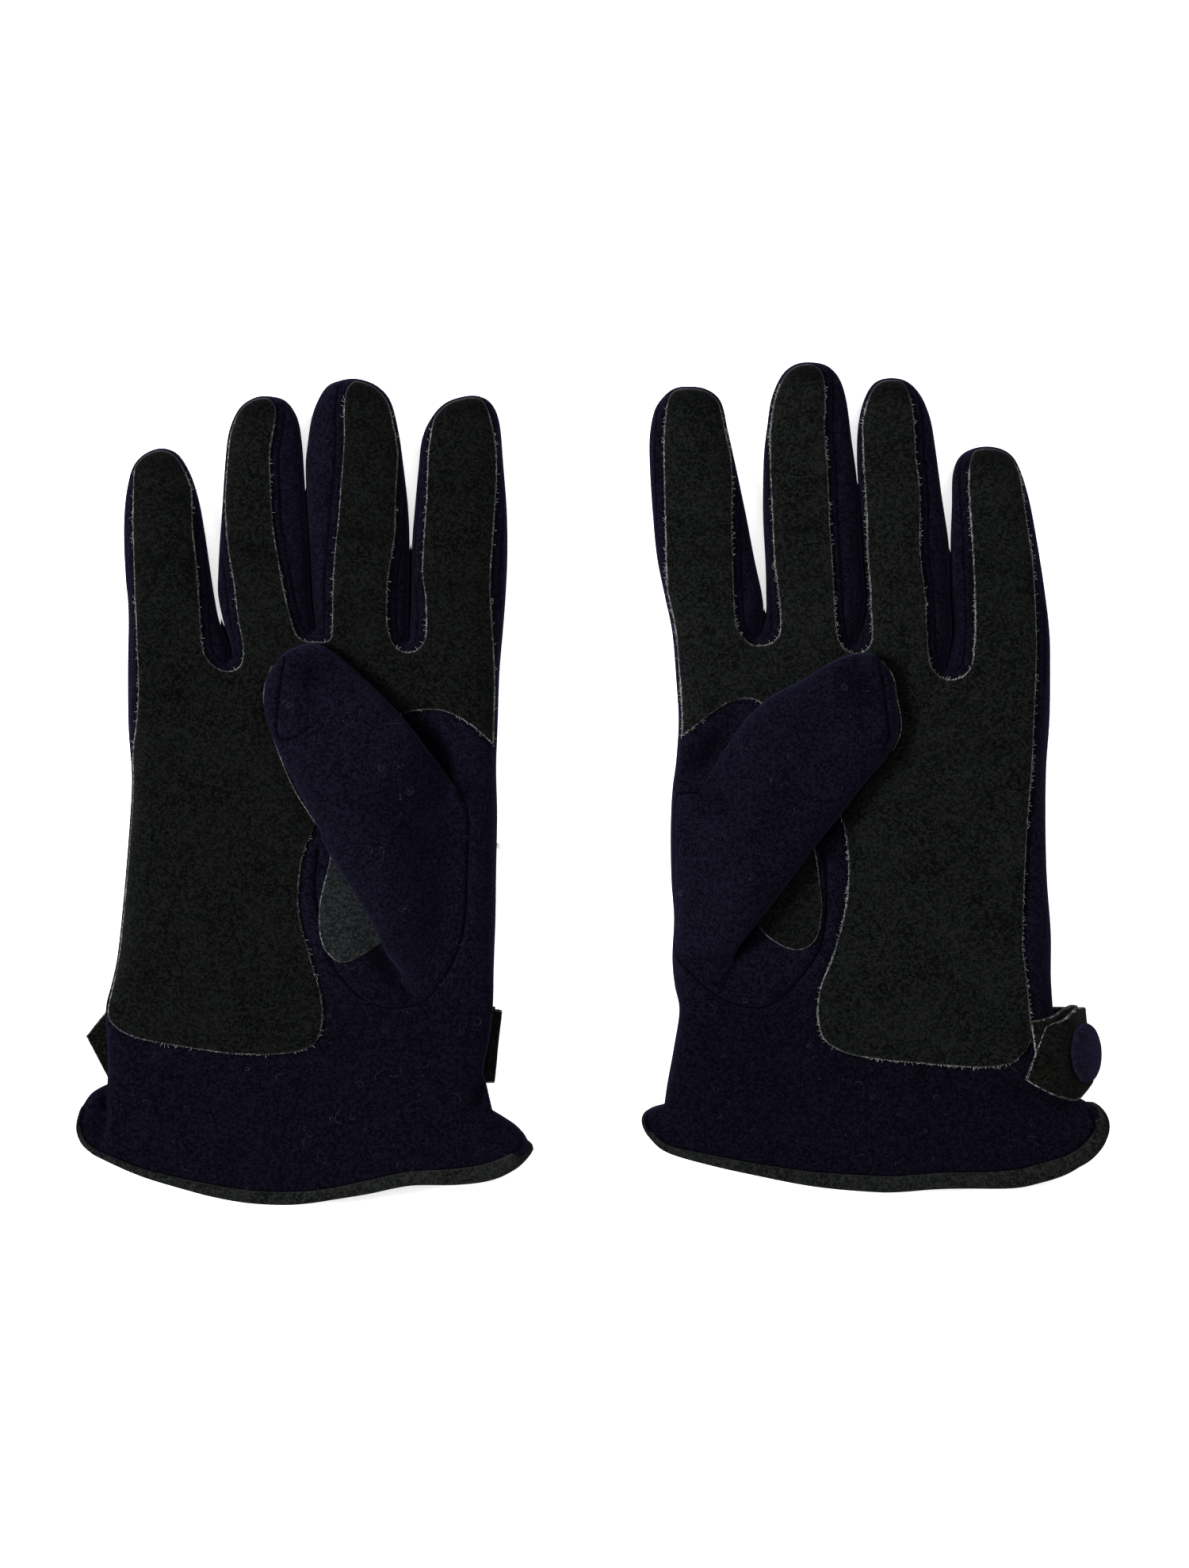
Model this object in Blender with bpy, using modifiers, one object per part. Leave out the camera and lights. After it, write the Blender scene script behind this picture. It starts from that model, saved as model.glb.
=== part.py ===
"""A pair of riding gloves: knitted fabric with suede palms and a strap buttoned at the wrist.

The gloves lie palm up, side by side, as a pair does on a table. Sizes are in millimetres and are
turned into metres when a mesh is made. +X runs from the right-hand glove to the left-hand glove,
+Y from the cuffs to the fingertips and +Z up. The origin is on the table, under the pair's middle.
"""

import math
from dataclasses import dataclass

import bmesh
import bpy
from mathutils import Matrix, Vector

MM = 0.001

FABRIC = 1.4  # wall of the knitted fabric
SUEDE = 1.0  # the overlays, the strap and the hem binding
GAP = 0.35  # air between neighbouring pieces
SEAM_GAP = 1.2  # between the back and palm panels, along the side seams

HAND_TOP = 15.5  # height of the palm
HAND_CORNER = 5.0  # how far in from its edge the palm is level
FINGER_TOP = 15.0  # height of a finger at the knuckles
FINGER_END_TOP = 11.5  # height where a fingertip starts to round off
TIP_HEIGHT = 5.0  # height of the point of a fingertip
PATCH_Z = HAND_TOP + GAP
THUMB_PATCH_Z = PATCH_Z + SUEDE + GAP
THUMB_Z = THUMB_PATCH_Z + SUEDE + GAP
THUMB_TOP = 27.5
THUMB_BEND_Y = -33.3  # where the thumb's tube meets its gusset
THUMB_END_TOP = 26.0
THUMB_HINGE_Z = 17.0
BEND_Z = 16.7  # height of the axes that the fingers bend about
STUB = 2.0  # length of a tube's square base
BINDING_WIDTH = 4.0
BINDING_THICKNESS = 2.4
HEM_GAP = 1.0  # between the panels' slanting rim and the binding

STRAP_Y = (-91.5, -68.5)
PLY_PITCH = SUEDE + 0.6  # between the middles of the strap's two plies
STUD_HOLE_RADIUS = 2.8
# (radius, height) down the outer side of a turned piece.
BUTTON_PROFILE = ((0.0, 3.9), (3.6, 3.7), (6.6, 3.0), (8.6, 1.9), (9.0, 0.9), (8.4, 0.0),
                  (STUD_HOLE_RADIUS, 0.0), (STUD_HOLE_RADIUS, 1.6), (0.0, 1.6))
STUD_PROFILE = ((0.0, 2.8), (1.5, 2.8), (2.0, 2.3), (2.0, 0.0), (0.0, 0.0))

# Columns of a finger's cross-section, in degrees from its high-X side over the palm side.
SHELL_ANGLES = (0, 34, 54, 90, 126, 146, 180, 214, 234, 270, 306, 326)
STRIP_ANGLES = (54, 90, 126)
UNDER_ANGLES = (234, 270, 306)
FOURCHETTE_ANGLES = {"high": (-20, 0, 20), "low": (160, 180, 200)}
SLOT_COLUMNS = {"high": (11, 0), "low": (5, 6)}
ROUNDNESS = 2.5  # superellipse exponent of the cross-section
FLATNESS = 1.3  # presses the side that lies on the table level


@dataclass(frozen=True)
class Digit:
    """A finger or thumb: its centre line in plan, and its half widths from base to tip."""

    name: str
    base_x: float
    tip: tuple
    half_widths: tuple
    tip_length: float
    sway: float = 0.0
    fourchettes: tuple = ()


@dataclass(frozen=True)
class Glove:
    side: str
    knuckles: tuple  # (x, y, slope) of the line where the fingers leave the hand
    edges: tuple  # (y, low x, high x, low z) across the hand, from the wrist to the knuckles
    flare: tuple  # the same for the mouth of the cuff, where it starts, half way and at the hem
    hem: tuple  # plan of the hem
    patch: tuple  # outline of the palm overlay, (x, y, is it a corner)
    gusset_patch: tuple  # outline of the overlay's lower end beside the thumb
    gusset: tuple  # (y, low x, high x, top) across the hood that joins thumb and palm
    thumb_hole: tuple  # centre and half widths of the opening under the hood
    fingers: tuple
    thumb: Digit
    thumb_hinge_x: float  # the thumb's fold line, which runs along Y
    strap: tuple  # (x, z) along the outer ply, from the fold to the free end
    strap_inside: int  # the side of that path the inner ply lies on, 1 for its left
    flap_start: int  # which of those points the free end bends at
    button_at: int  # which of them is under the button
    end_pull: tuple  # how far the free end is cut back at its low-Y edge, inside and high-Y edge
    tab_short: int  # how many of the curve's points the inner ply stops short of the free end
    strap_drift: float  # how far the free end drifts along Y


RIGHT = Glove(
    side="right",
    knuckles=(-84.5, 41.6, 0.106),
    edges=(
        (-92.5, -147.3, -35.8, 7.1),
        (-67.0, -147.6, -31.0, 7.1),
        (-61.0, -146.2, -30.5, 3.0),
        (-54.0, -145.0, -30.2, 0.0),
        (-22.0, -142.2, -29.9, 0.0),
        (10.0, -140.8, -29.4, 0.0),
    ),
    flare=((-153.4, -32.0, 2.4), (-155.4, -24.6, 0.0), (-154.6, -21.6, 0.0)),
    hem=((-157.0, -108.0), (-140.0, -114.0), (-118.0, -120.6), (-96.0, -123.3), (-70.0, -120.4),
         (-42.0, -116.6), (-19.0, -109.0)),
    patch=(
        (-136.0, 35.5, True), (-136.0, -5.0, False), (-136.5, -40.0, False), (-139.0, -66.0, False),
        (-134.0, -75.5, False), (-112.0, -81.5, False), (-93.0, -82.0, False), (-83.5, -76.0, False),
        (-83.0, -62.0, False), (-88.5, -44.0, False), (-88.0, -24.0, False), (-80.0, -6.0, False),
        (-66.0, 12.0, False), (-54.0, 21.0, False), (-44.0, 20.6, False), (-35.0, 14.5, True),
        (-34.6, 46.3, True), (-49.0, 44.8, True), (-53.0, 40.4, False), (-57.5, 40.2, False),
        (-61.5, 43.4, True), (-81.0, 41.4, True), (-84.0, 38.0, False), (-88.0, 38.0, False),
        (-91.0, 40.3, True), (-105.0, 38.8, True), (-107.0, 34.8, False), (-112.0, 34.4, False),
        (-115.5, 37.7, True),
    ),
    gusset_patch=(
        (-79.5, -36.5, False), (-82.6, -44.0, False), (-80.5, -52.5, False), (-73.5, -55.0, False),
        (-66.5, -52.5, False), (-67.6, -47.0, False), (-74.0, -36.2, False),
    ),
    gusset=((-59.5, -57.5, -47.5, 19.5), (-55.0, -61.5, -44.0, 22.5), (-48.0, -65.5, -41.0, 25.0),
            (-40.0, -69.0, -39.2, 26.8), (THUMB_BEND_Y - GAP, -71.5, -38.6, THUMB_TOP)),
    thumb_hole=(-56.0, -35.0, 11.0, 16.0),
    fingers=(
        Digit("index", -42.0, (-38.9, 117.5), (14.1, 13.8, 11.4), 10.5, 0.4, ("low",)),
        Digit("middle", -71.0, (-73.0, 122.5), (14.0, 14.3, 12.4), 11.5, 0.5, ("low", "high")),
        Digit("ring", -99.7, (-100.0, 117.2), (14.0, 13.0, 11.2), 10.5, 0.4, ("low", "high")),
        Digit("little", -127.5, (-132.3, 101.4), (13.3, 12.3, 10.2), 9.5, 0.0, ("high",)),
    ),
    thumb=Digit("thumb", -55.0, (-92.4, 39.3), (16.4, 20.0, 13.0), 12.0, 2.5),
    thumb_hinge_x=-37.0,
    strap=((-29.4, 4.75), (-60.0, 4.75), (-116.0, 4.75), (-134.5, 4.75), (-146.0, 4.75),
           (-154.6, 4.75)),
    strap_inside=-1,
    flap_start=2,
    button_at=3,
    end_pull=(7.5, 0.0, 6.5),
    tab_short=3,
    strap_drift=0.0,
)

LEFT = Glove(
    side="left",
    knuckles=(80.5, 41.2, -0.162),
    edges=(
        (-92.5, 22.6, 141.5, 3.05),
        (-67.0, 25.4, 139.2, 3.05),
        (-61.0, 24.6, 138.7, 1.2),
        (-54.0, 24.0, 138.4, 0.0),
        (-22.0, 22.9, 137.1, 0.0),
        (10.0, 24.8, 137.3, 0.0),
    ),
    flare=((20.0, 150.8, 0.8), (15.3, 155.2, 0.0), (16.5, 154.8, 0.0)),
    hem=((14.0, -105.5), (28.0, -110.6), (56.0, -116.0), (86.0, -119.7), (110.0, -118.4),
         (134.0, -116.6), (150.0, -110.5), (157.0, -101.0)),
    patch=(
        (29.2, 48.9, True), (29.0, 14.0, True), (37.0, 20.0, False), (46.5, 24.6, False),
        (55.0, 20.0, False), (66.0, 4.0, False), (75.0, -12.0, False), (76.4, -28.0, False),
        (73.5, -45.0, False), (68.5, -58.0, False), (67.8, -74.0, False), (76.0, -82.0, False),
        (104.0, -84.6, False), (124.0, -84.6, False), (131.2, -76.0, False), (130.0, -50.0, False),
        (130.4, -10.0, False), (132.2, 20.0, False), (132.2, 32.2, True), (112.4, 35.4, True),
        (109.6, 31.6, False), (103.4, 31.5, False), (100.6, 37.3, True), (84.6, 39.9, True),
        (81.6, 36.6, False), (77.6, 37.0, False), (74.2, 41.6, True), (56.0, 44.6, True),
        (53.0, 41.0, False), (48.0, 41.4, False), (45.0, 46.3, True),
    ),
    gusset_patch=(
        (58.6, -36.0, False), (53.5, -45.5, False), (57.0, -49.8, False), (63.5, -51.0, False),
        (68.0, -46.5, False), (67.6, -36.4, False),
    ),
    gusset=((-60.0, 34.0, 43.0, 19.5), (-55.0, 31.0, 47.0, 22.5), (-48.0, 28.6, 50.5, 25.0),
            (-40.0, 25.8, 54.0, 26.8), (THUMB_BEND_Y - GAP, 24.6, 56.0, THUMB_TOP)),
    thumb_hole=(43.0, -35.0, 10.0, 16.0),
    fingers=(
        Digit("index", 38.0, (28.4, 120.1), (13.6, 13.3, 11.3), 11.0, 0.5, ("high",)),
        Digit("middle", 66.6, (65.3, 127.6), (14.0, 14.3, 12.2), 11.0, -0.8, ("low", "high")),
        Digit("ring", 95.0, (89.7, 122.8), (13.6, 12.8, 10.8), 10.5, 1.0, ("low", "high")),
        Digit("little", 123.0, (118.4, 101.9), (13.6, 12.6, 10.4), 10.0, 0.4, ("low",)),
    ),
    thumb=Digit("thumb", 40.2, (87.5, 38.6), (15.6, 19.6, 13.4), 10.5, -4.0),
    thumb_hinge_x=23.0,
    strap=((48.0, 0.55), (90.0, 0.55), (136.0, 0.55), (143.5, 0.9), (148.7, 3.6), (150.5, 8.9),
           (147.0, 14.4), (143.5, 19.9), (139.0, 22.0), (131.0, 21.6)),
    strap_inside=1,
    flap_start=4,
    button_at=6,
    end_pull=(0.0, 3.7, 6.0),
    tab_short=1,
    strap_drift=-4.0,
)


def clear_scene():
    for obj in list(bpy.data.objects):
        bpy.data.objects.remove(obj, do_unlink=True)


def new_collection(name):
    collection = bpy.data.collections.new(name)
    bpy.context.scene.collection.children.link(collection)
    return collection


def make_material(name, color, roughness, metallic=0.0):
    material = bpy.data.materials.new(name)
    material.use_nodes = True
    shader = material.node_tree.nodes["Principled BSDF"]
    shader.inputs["Base Color"].default_value = (*color, 1.0)
    shader.inputs["Roughness"].default_value = roughness
    shader.inputs["Metallic"].default_value = metallic
    return material


def make_materials():
    return {
        "knit": make_material("navy_knit", (0.013, 0.012, 0.028), 0.95),
        "suede": make_material("dark_suede", (0.014, 0.016, 0.015), 0.9),
        "cloth": make_material("button_cloth", (0.016, 0.014, 0.036), 0.85),
        "brass": make_material("stud_brass", (0.62, 0.46, 0.2), 0.35, 1.0),
    }


def blend(a, b, t):
    return a + (b - a) * t


def smooth_path(points, steps):
    """A Catmull-Rom curve through the points, with this many steps between two of them."""
    points = [Vector(p) for p in points]
    ends = [2 * points[0] - points[1], *points, 2 * points[-1] - points[-2]]
    curve = []
    for a, b, c, d in zip(ends, ends[1:], ends[2:], ends[3:]):
        for i in range(steps):
            t = i / steps
            curve.append(
                0.5 * (2 * b + (c - a) * t + (2 * a - 5 * b + 4 * c - d) * t**2
                       + (3 * b - a - 3 * c + d) * t**3)
            )
    return [*curve, points[-1]]


def at(path, x):
    """The height of a plan curve at x."""
    for (x0, y0), (x1, y1) in zip(path, path[1:]):
        if x <= x1:
            return blend(y0, y1, (x - x0) / (x1 - x0))
    return path[-1][1]


def grid_bmesh(rows, wrap=False, point=None, skip_columns=(), skip_rows=0):
    """An open surface through rows of points. Its normals face out when the rows run along +Y and
    the columns turn from +X to +Z. The first skip_rows rows leave out the cells of skip_columns."""
    bm = bmesh.new()
    verts = [[bm.verts.new(p) for p in row] for row in rows]
    count = len(rows[0])
    cells = range(count if wrap else count - 1)
    for i, (near, far) in enumerate(zip(verts, verts[1:])):
        for j in cells:
            if i < skip_rows and j in skip_columns:
                continue
            k = (j + 1) % count
            bm.faces.new((near[j], far[j], far[k], near[k]))
    if point is not None:
        end = bm.verts.new(point)
        for j in cells:
            bm.faces.new((verts[-1][j], end, verts[-1][(j + 1) % count]))
    for vert in [v for v in bm.verts if not v.link_faces]:
        bm.verts.remove(vert)
    return bm


class Builder:
    """Makes the named objects of one glove, each under the empty of the body it moves with."""

    def __init__(self, side, parts, helpers, materials):
        self.side = side
        self.parts = parts
        self.helpers = helpers
        self.materials = materials
        self.pivots = {}

    def add_pivot(self, body, position):
        """An empty on the joint's axis, which carries what turns about it."""
        empty = bpy.data.objects.new(f"{self.side}_{body}_pivot", None)
        empty.empty_display_size = 0.01
        empty.location = Vector(position) * MM
        self.parts.objects.link(empty)
        self.pivots[body] = empty

    def add(self, name, bm, material, body=None, helper=False):
        """Turns a mesh in millimetres into an object, placed on its body's pivot."""
        mesh = bpy.data.meshes.new(name)
        bmesh.ops.scale(bm, vec=(MM, MM, MM), verts=bm.verts)
        obj = bpy.data.objects.new(name if helper else f"{self.side}_{name}", mesh)
        if body:
            obj.parent = self.pivots[body]
            bm.transform(Matrix.Translation(-obj.parent.location))
        bm.to_mesh(mesh)
        bm.free()
        if not helper:
            mesh.materials.append(self.materials[material])
            mesh.shade_smooth()
            mesh.set_sharp_from_angle(angle=math.radians(50))
        (self.helpers if helper else self.parts).objects.link(obj)
        return obj

    def add_plate(self, name, outline, low, material, body=None):
        """A flat piece cut to an outline, its underside at height low."""
        curve = bpy.data.curves.new(name, "CURVE")
        curve.dimensions = "2D"
        curve.fill_mode = "BOTH"
        curve.extrude = SUEDE / 2 * MM
        curve.resolution_u = 3
        spline = curve.splines.new("BEZIER")
        spline.bezier_points.add(len(outline) - 1)
        spline.use_cyclic_u = True
        middle = Vector((0, 0, low + SUEDE / 2)) * MM
        offset = self.pivots[body].location if body else Vector()
        for point, (x, y, corner) in zip(spline.bezier_points, outline):
            point.co = Vector((x, y, 0)) * MM - Vector((offset.x, offset.y, 0))
            point.handle_left_type = point.handle_right_type = "VECTOR" if corner else "AUTO"
        obj = bpy.data.objects.new(f"{self.side}_{name}", curve)
        obj.location = middle - Vector((0, 0, offset.z))
        if body:
            obj.parent = self.pivots[body]
        curve.materials.append(self.materials[material])
        self.parts.objects.link(obj)
        return obj

    def add_turned(self, name, profile, base, direction, material, body=None):
        """A profile turned about the line through base along direction."""
        mesh = bpy.data.meshes.new(name)
        points = [(radius * MM, 0.0, height * MM) for radius, height in profile]
        mesh.from_pydata(points, [(i, i + 1) for i in range(len(points) - 1)], [])
        mesh.materials.append(self.materials[material])
        obj = bpy.data.objects.new(f"{self.side}_{name}", mesh)
        obj.location = base * MM
        if body:
            obj.parent = self.pivots[body]
            obj.location -= obj.parent.location
        obj.rotation_euler = direction.to_track_quat("Z", "Y").to_euler()
        screw = obj.modifiers.new("turn", "SCREW")
        screw.steps = screw.render_steps = 20
        screw.use_merge_vertices = True
        screw.merge_threshold = 0.00001
        screw.use_smooth_shade = True
        self.parts.objects.link(obj)


def solidify(obj, thickness, outward=False, centred=False):
    modifier = obj.modifiers.new("wall", "SOLIDIFY")
    modifier.thickness = thickness * MM
    modifier.offset = 0 if centred else (1 if outward else -1)
    modifier.use_even_offset = True
    return obj


def cut(obj, cutter):
    cutter.hide_render = True
    cutter.display_type = "WIRE"
    modifier = obj.modifiers.new("hole", "BOOLEAN")
    modifier.operation = "DIFFERENCE"
    modifier.object = cutter


def knuckle_y(glove, x):
    x0, y0, slope = glove.knuckles
    return y0 + (x - x0) * slope


def hand_section(low_x, high_x, low_z, palm):
    """(x, z) across one half of the hand, from its high-X edge over the palm or from its low-X
    edge under the back."""
    middle = (low_z + HAND_TOP) / 2
    sign = 1 if palm else -1
    seam = middle + sign * SEAM_GAP / 2
    level = HAND_TOP if palm else low_z
    corner = [(HAND_CORNER * (1 - math.cos(a)), blend(seam, level, math.sin(a)))
              for a in (math.radians(d) for d in (0, 35, 65, 90))]
    flat = [blend(low_x + HAND_CORNER, high_x - HAND_CORNER, f) for f in (0.25, 0.5, 0.75)]
    low_side = [(low_x + inset, z) for inset, z in corner]
    high_side = [(high_x - inset, z) for inset, z in corner]
    across = low_side + [(x, level) for x in flat] + high_side[::-1]
    return across[::-1] if palm else across


def hand_rows(glove, palm):
    """Cross-sections of the hand and cuff, from the hem to the knuckles."""
    hem = smooth_path(glove.hem, 3)
    (start_y, *_), *_ = glove.edges
    begin, half_way, mouth = glove.flare
    rows = []
    for (low_x, high_x, low_z), reach in ((mouth, 1.0), (half_way, 0.5), (begin, 0.14)):
        section = hand_section(low_x, high_x, low_z, palm)
        rows.append([(x, blend(start_y, at(hem, x), reach), z) for x, z in section])
    for y, low_x, high_x, low_z in glove.edges:
        rows.append([(x, y, z) for x, z in hand_section(low_x, high_x, low_z, palm)])
    _, low_x, high_x, low_z = glove.edges[-1]
    section = hand_section(low_x, high_x, low_z, palm)
    rows.append([(x, knuckle_y(glove, x) - GAP / 2, z) for x, z in section])
    return rows


def make_hand(build, glove):
    """The palm and back panels, which meet along the side seams, and the bound hem."""
    palm = build.add("palm_panel", grid_bmesh(hand_rows(glove, True)), "knit")
    back = build.add("back_panel", grid_bmesh(hand_rows(glove, False)), "knit")
    solidify(palm, FABRIC)
    solidify(back, FABRIC)
    x, y, half_x, half_y = glove.thumb_hole
    hole = bmesh.new()
    bmesh.ops.create_cone(
        hole, cap_ends=True, segments=20, radius1=1, radius2=1, depth=8,
        matrix=Matrix.Translation((x, y, HAND_TOP)) @ Matrix.Diagonal((half_x, half_y, 1, 1)),
    )
    cut(palm, build.add(f"{glove.side}_thumb_hole_cutter", hole, None, helper=True))
    make_binding(build, glove)


def make_binding(build, glove):
    """Suede folded over the raw edge of the hem, all the way round."""
    ring = hand_rows(glove, True)[0] + hand_rows(glove, False)[0]
    rows = [[(x, y - drop, z) for x, y, z in ring] for drop in (BINDING_WIDTH, HEM_GAP)]
    solidify(build.add("hem_binding", grid_bmesh(rows, wrap=True), "suede"), BINDING_THICKNESS)


def make_overlays(build, glove):
    build.add_plate("palm_patch", glove.patch, PATCH_Z, "suede")
    build.add_plate("gusset_patch", glove.gusset_patch, PATCH_Z, "suede")


def make_gusset(build, glove):
    """The hood between the opening in the palm and the thumb's tube, open to both."""
    rim_y, *rim = glove.gusset[-1]
    tail_y, tail_low_x, tail_high_x, _ = glove.gusset[0]
    rows = []
    for y, low_x, high_x, top in ((rim_y, *rim), (rim_y - STUB, *rim), *glove.gusset[-2::-1]):
        half = (high_x - low_x) / 2
        arch = []
        for degrees in (180, 152, 126, 90, 54, 28, 0):
            across, up = section_point(degrees)
            arch.append(((low_x + high_x) / 2 + across * half, y, blend(PATCH_Z, top, up)))
        rows.append(arch)
    point = ((tail_low_x + tail_high_x) / 2, tail_y - 5.0, PATCH_Z + 1.0)
    solidify(build.add("thumb_gusset", grid_bmesh(rows, point=point), "knit"), FABRIC)


def section_point(degrees):
    """(across, up) on a digit's cross-section, each from -1 to 1, flattened underneath."""
    angle = math.radians(degrees)
    power = 2 / ROUNDNESS
    across = math.copysign(abs(math.cos(angle)) ** power, math.cos(angle))
    up = math.copysign(abs(math.sin(angle)) ** power, math.sin(angle))
    return across, up if up > 0 else max(up * FLATNESS, -1.0)


@dataclass(frozen=True)
class Tube:
    """The surface of a digit: its base line and its heights, around the digit's centre line."""

    digit: Digit
    base_y: float
    base_side: Vector
    floor: float
    top: float
    end_top: float

    @property
    def base(self):
        return Vector((self.digit.base_x, self.base_y))

    @property
    def length(self):
        return (Vector(self.digit.tip) - self.base).length

    def half_width(self, s):
        start, middle, end = self.digit.half_widths
        return blend(start, middle, s * 2) if s < 0.5 else blend(middle, end, s * 2 - 1)

    def row(self, s, angles, grow=0.0):
        """Points at a share s of the way from base to tip. grow moves them out."""
        run = Vector(self.digit.tip) - self.base
        square = Vector((run.y, -run.x)).normalized()
        side = self.base_side.lerp(square, min(1.0, s / 0.35)).normalized()
        centre = self.base + run * s + square * self.digit.sway * 4 * s * (1 - s)
        near_tip = max(0.0, 1 - (1 - s) * self.length / self.digit.tip_length)
        fullness = math.sqrt(1 - near_tip**2)
        half = self.half_width(s) * fullness + grow
        middle = self.floor + TIP_HEIGHT
        low = blend(middle, self.floor, fullness**0.8) - grow
        high = blend(middle, blend(self.top, self.end_top, s), fullness**0.8) + grow
        points = []
        for across, up in map(section_point, angles):
            x, y = centre + side * across * half
            points.append((x, y, (low + high) / 2 + up * (high - low) / 2))
        return points

    def rows(self, angles, shares, grow=0.0):
        """Rows from the base, with a short straight stub there that keeps the rim square."""
        ahead = Vector((-self.base_side.y, self.base_side.x)) * STUB
        first = self.row(0, angles, grow)
        stub = [(x + ahead.x, y + ahead.y, z) for x, y, z in first]
        return [first, stub, *(self.row(s, angles, grow) for s in shares)]

    def shares(self, end):
        """Where the rows lie after the stub: along the straight part, then round the tip. end is
        how many of the rows round the tip to keep."""
        tip = self.digit.tip_length / self.length
        return [0.25, 0.5, 0.7, *(1 - tip * left for left in (1.0, 0.55, 0.2, 0.04)[:end])]


def make_tube_shell(build, tube, name, body, slots=()):
    columns = [column for slot in slots for column in SLOT_COLUMNS[slot]]
    bm = grid_bmesh(
        tube.rows(SHELL_ANGLES, tube.shares(4)), wrap=True,
        point=(*tube.digit.tip, tube.floor + TIP_HEIGHT), skip_columns=columns, skip_rows=5,
    )
    solidify(build.add(name, bm, "knit", body), FABRIC)


def make_finger(build, glove, digit):
    """A knitted tube with a suede strip on its palm side, and a fourchette in each side that
    faces another finger."""
    _, _, slope = glove.knuckles
    line = Vector((1.0, slope)).normalized()
    base_y = knuckle_y(glove, digit.base_x) + GAP / 2
    build.add_pivot(digit.name, (digit.base_x, base_y - GAP / 2, BEND_Z))
    tube = Tube(digit, base_y, line, 0.0, FINGER_TOP, FINGER_END_TOP)
    make_tube_shell(build, tube, f"{digit.name}_finger", digit.name, digit.fourchettes)
    strip = grid_bmesh(tube.rows(STRIP_ANGLES, tube.shares(3), GAP))
    strip = build.add(f"{digit.name}_suede_strip", strip, "suede", digit.name)
    solidify(strip, SUEDE, outward=True)
    for slot in digit.fourchettes:
        edge = 1 - (digit.tip_length + 1.5) / tube.length
        wall = grid_bmesh(tube.rows(FOURCHETTE_ANGLES[slot], [0.25, 0.5, 0.7, edge]))
        facing = "little" if (slot == "low") == (glove.side == "right") else "thumb"
        wall = build.add(f"{digit.name}_{facing}_side_fourchette", wall, "knit", digit.name)
        solidify(wall, FABRIC)


def make_thumb(build, glove):
    """The thumb's tube, folded over the palm, with suede on the side that faces it."""
    build.add_pivot("thumb", (glove.thumb_hinge_x, THUMB_BEND_Y, THUMB_HINGE_Z))
    tube = Tube(glove.thumb, THUMB_BEND_Y, Vector((1.0, 0.0)), THUMB_Z, THUMB_TOP, THUMB_END_TOP)
    make_tube_shell(build, tube, "thumb", "thumb")
    patch = grid_bmesh(tube.rows(UNDER_ANGLES, tube.shares(2), GAP))
    patch = build.add("thumb_patch", patch, "suede", "thumb")
    solidify(patch, SUEDE, outward=True)


def offset_path(path, distance):
    """The path moved sideways, to the left of its direction when distance is positive."""
    moved = []
    for i, point in enumerate(path):
        run = path[min(i + 1, len(path) - 1)] - path[max(i - 1, 0)]
        moved.append(point + Vector((-run.y, run.x)).normalized() * distance)
    return moved


def make_strap(build, glove):
    """One strip folded back on itself behind the wrist. Its outer ply ends in a free flap that
    buttons over the end of the inner ply."""
    steps = 3
    outer = smooth_path(glove.strap, steps)
    inner = offset_path(outer, PLY_PITCH * glove.strap_inside)[: len(outer) - glove.tab_short]
    bend = glove.flap_start * steps
    middle = (outer[0] + inner[0]) / 2
    radius = outer[0] - middle
    ahead = (outer[0] - outer[1]).normalized() * radius.length
    fold = [middle + radius * math.cos(a) + ahead * math.sin(a)
            for a in (math.pi / 4, math.pi / 2, 3 * math.pi / 4)]
    path = outer[bend::-1] + fold + inner
    rows = [[(x, y, z) for x, z in path] for y in STRAP_Y]
    solidify(build.add("strap", grid_bmesh(rows), "suede"), SUEDE, centred=True)
    make_flap(build, glove, outer, bend, glove.button_at * steps)


def make_flap(build, glove, outer, bend, button):
    """The strap's free end with its covered button, and the stud that holds it."""
    skin = offset_path(outer, -SUEDE / 2 * glove.strap_inside)
    hinge = skin[bend]
    outward = (skin[button] - outer[button]).normalized()
    normal = Vector((outward.x, 0.0, outward.y))
    low_y, high_y = STRAP_Y
    build.add_pivot("strap_flap", (hinge.x, (low_y + high_y) / 2, hinge.y))
    start = outer[bend] + (outer[bend + 1] - outer[bend]).normalized() * GAP
    path = [start, *outer[bend + 1:]]
    along = (path[-1] - path[-2]).normalized()
    rows = []
    for share, pull in zip((0.0, 0.62, 1.0), glove.end_pull):
        ends = [*path[:-1], path[-1] - along * pull]
        rows.append([
            (x, blend(low_y, high_y, share) + glove.strap_drift * i / (len(ends) - 1), z)
            for i, (x, z) in enumerate(ends)
        ])
    flap = build.add("strap_flap", grid_bmesh(rows), "suede", "strap_flap")
    solidify(flap, SUEDE, centred=True)
    drift = glove.strap_drift * (button - bend) / (len(path) - 1)
    place = Vector((outer[button].x, (low_y + high_y) / 2 + drift, outer[button].y))
    turn = normal.to_track_quat("Z", "Y").to_matrix().to_4x4()
    hole = bmesh.new()
    bmesh.ops.create_cone(hole, cap_ends=True, segments=14, radius1=STUD_HOLE_RADIUS,
                          radius2=STUD_HOLE_RADIUS, depth=4, matrix=Matrix.Translation(place) @ turn)
    cut(flap, build.add(f"{glove.side}_stud_hole_cutter", hole, None, "strap_flap", helper=True))
    base = place + normal * (SUEDE / 2 + GAP)
    build.add_turned("button", BUTTON_PROFILE, base, normal, "cloth", "strap_flap")
    foot = place - normal * (PLY_PITCH - SUEDE / 2 - GAP)
    build.add_turned("snap_stud", STUD_PROFILE, foot, normal, "brass")


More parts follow.
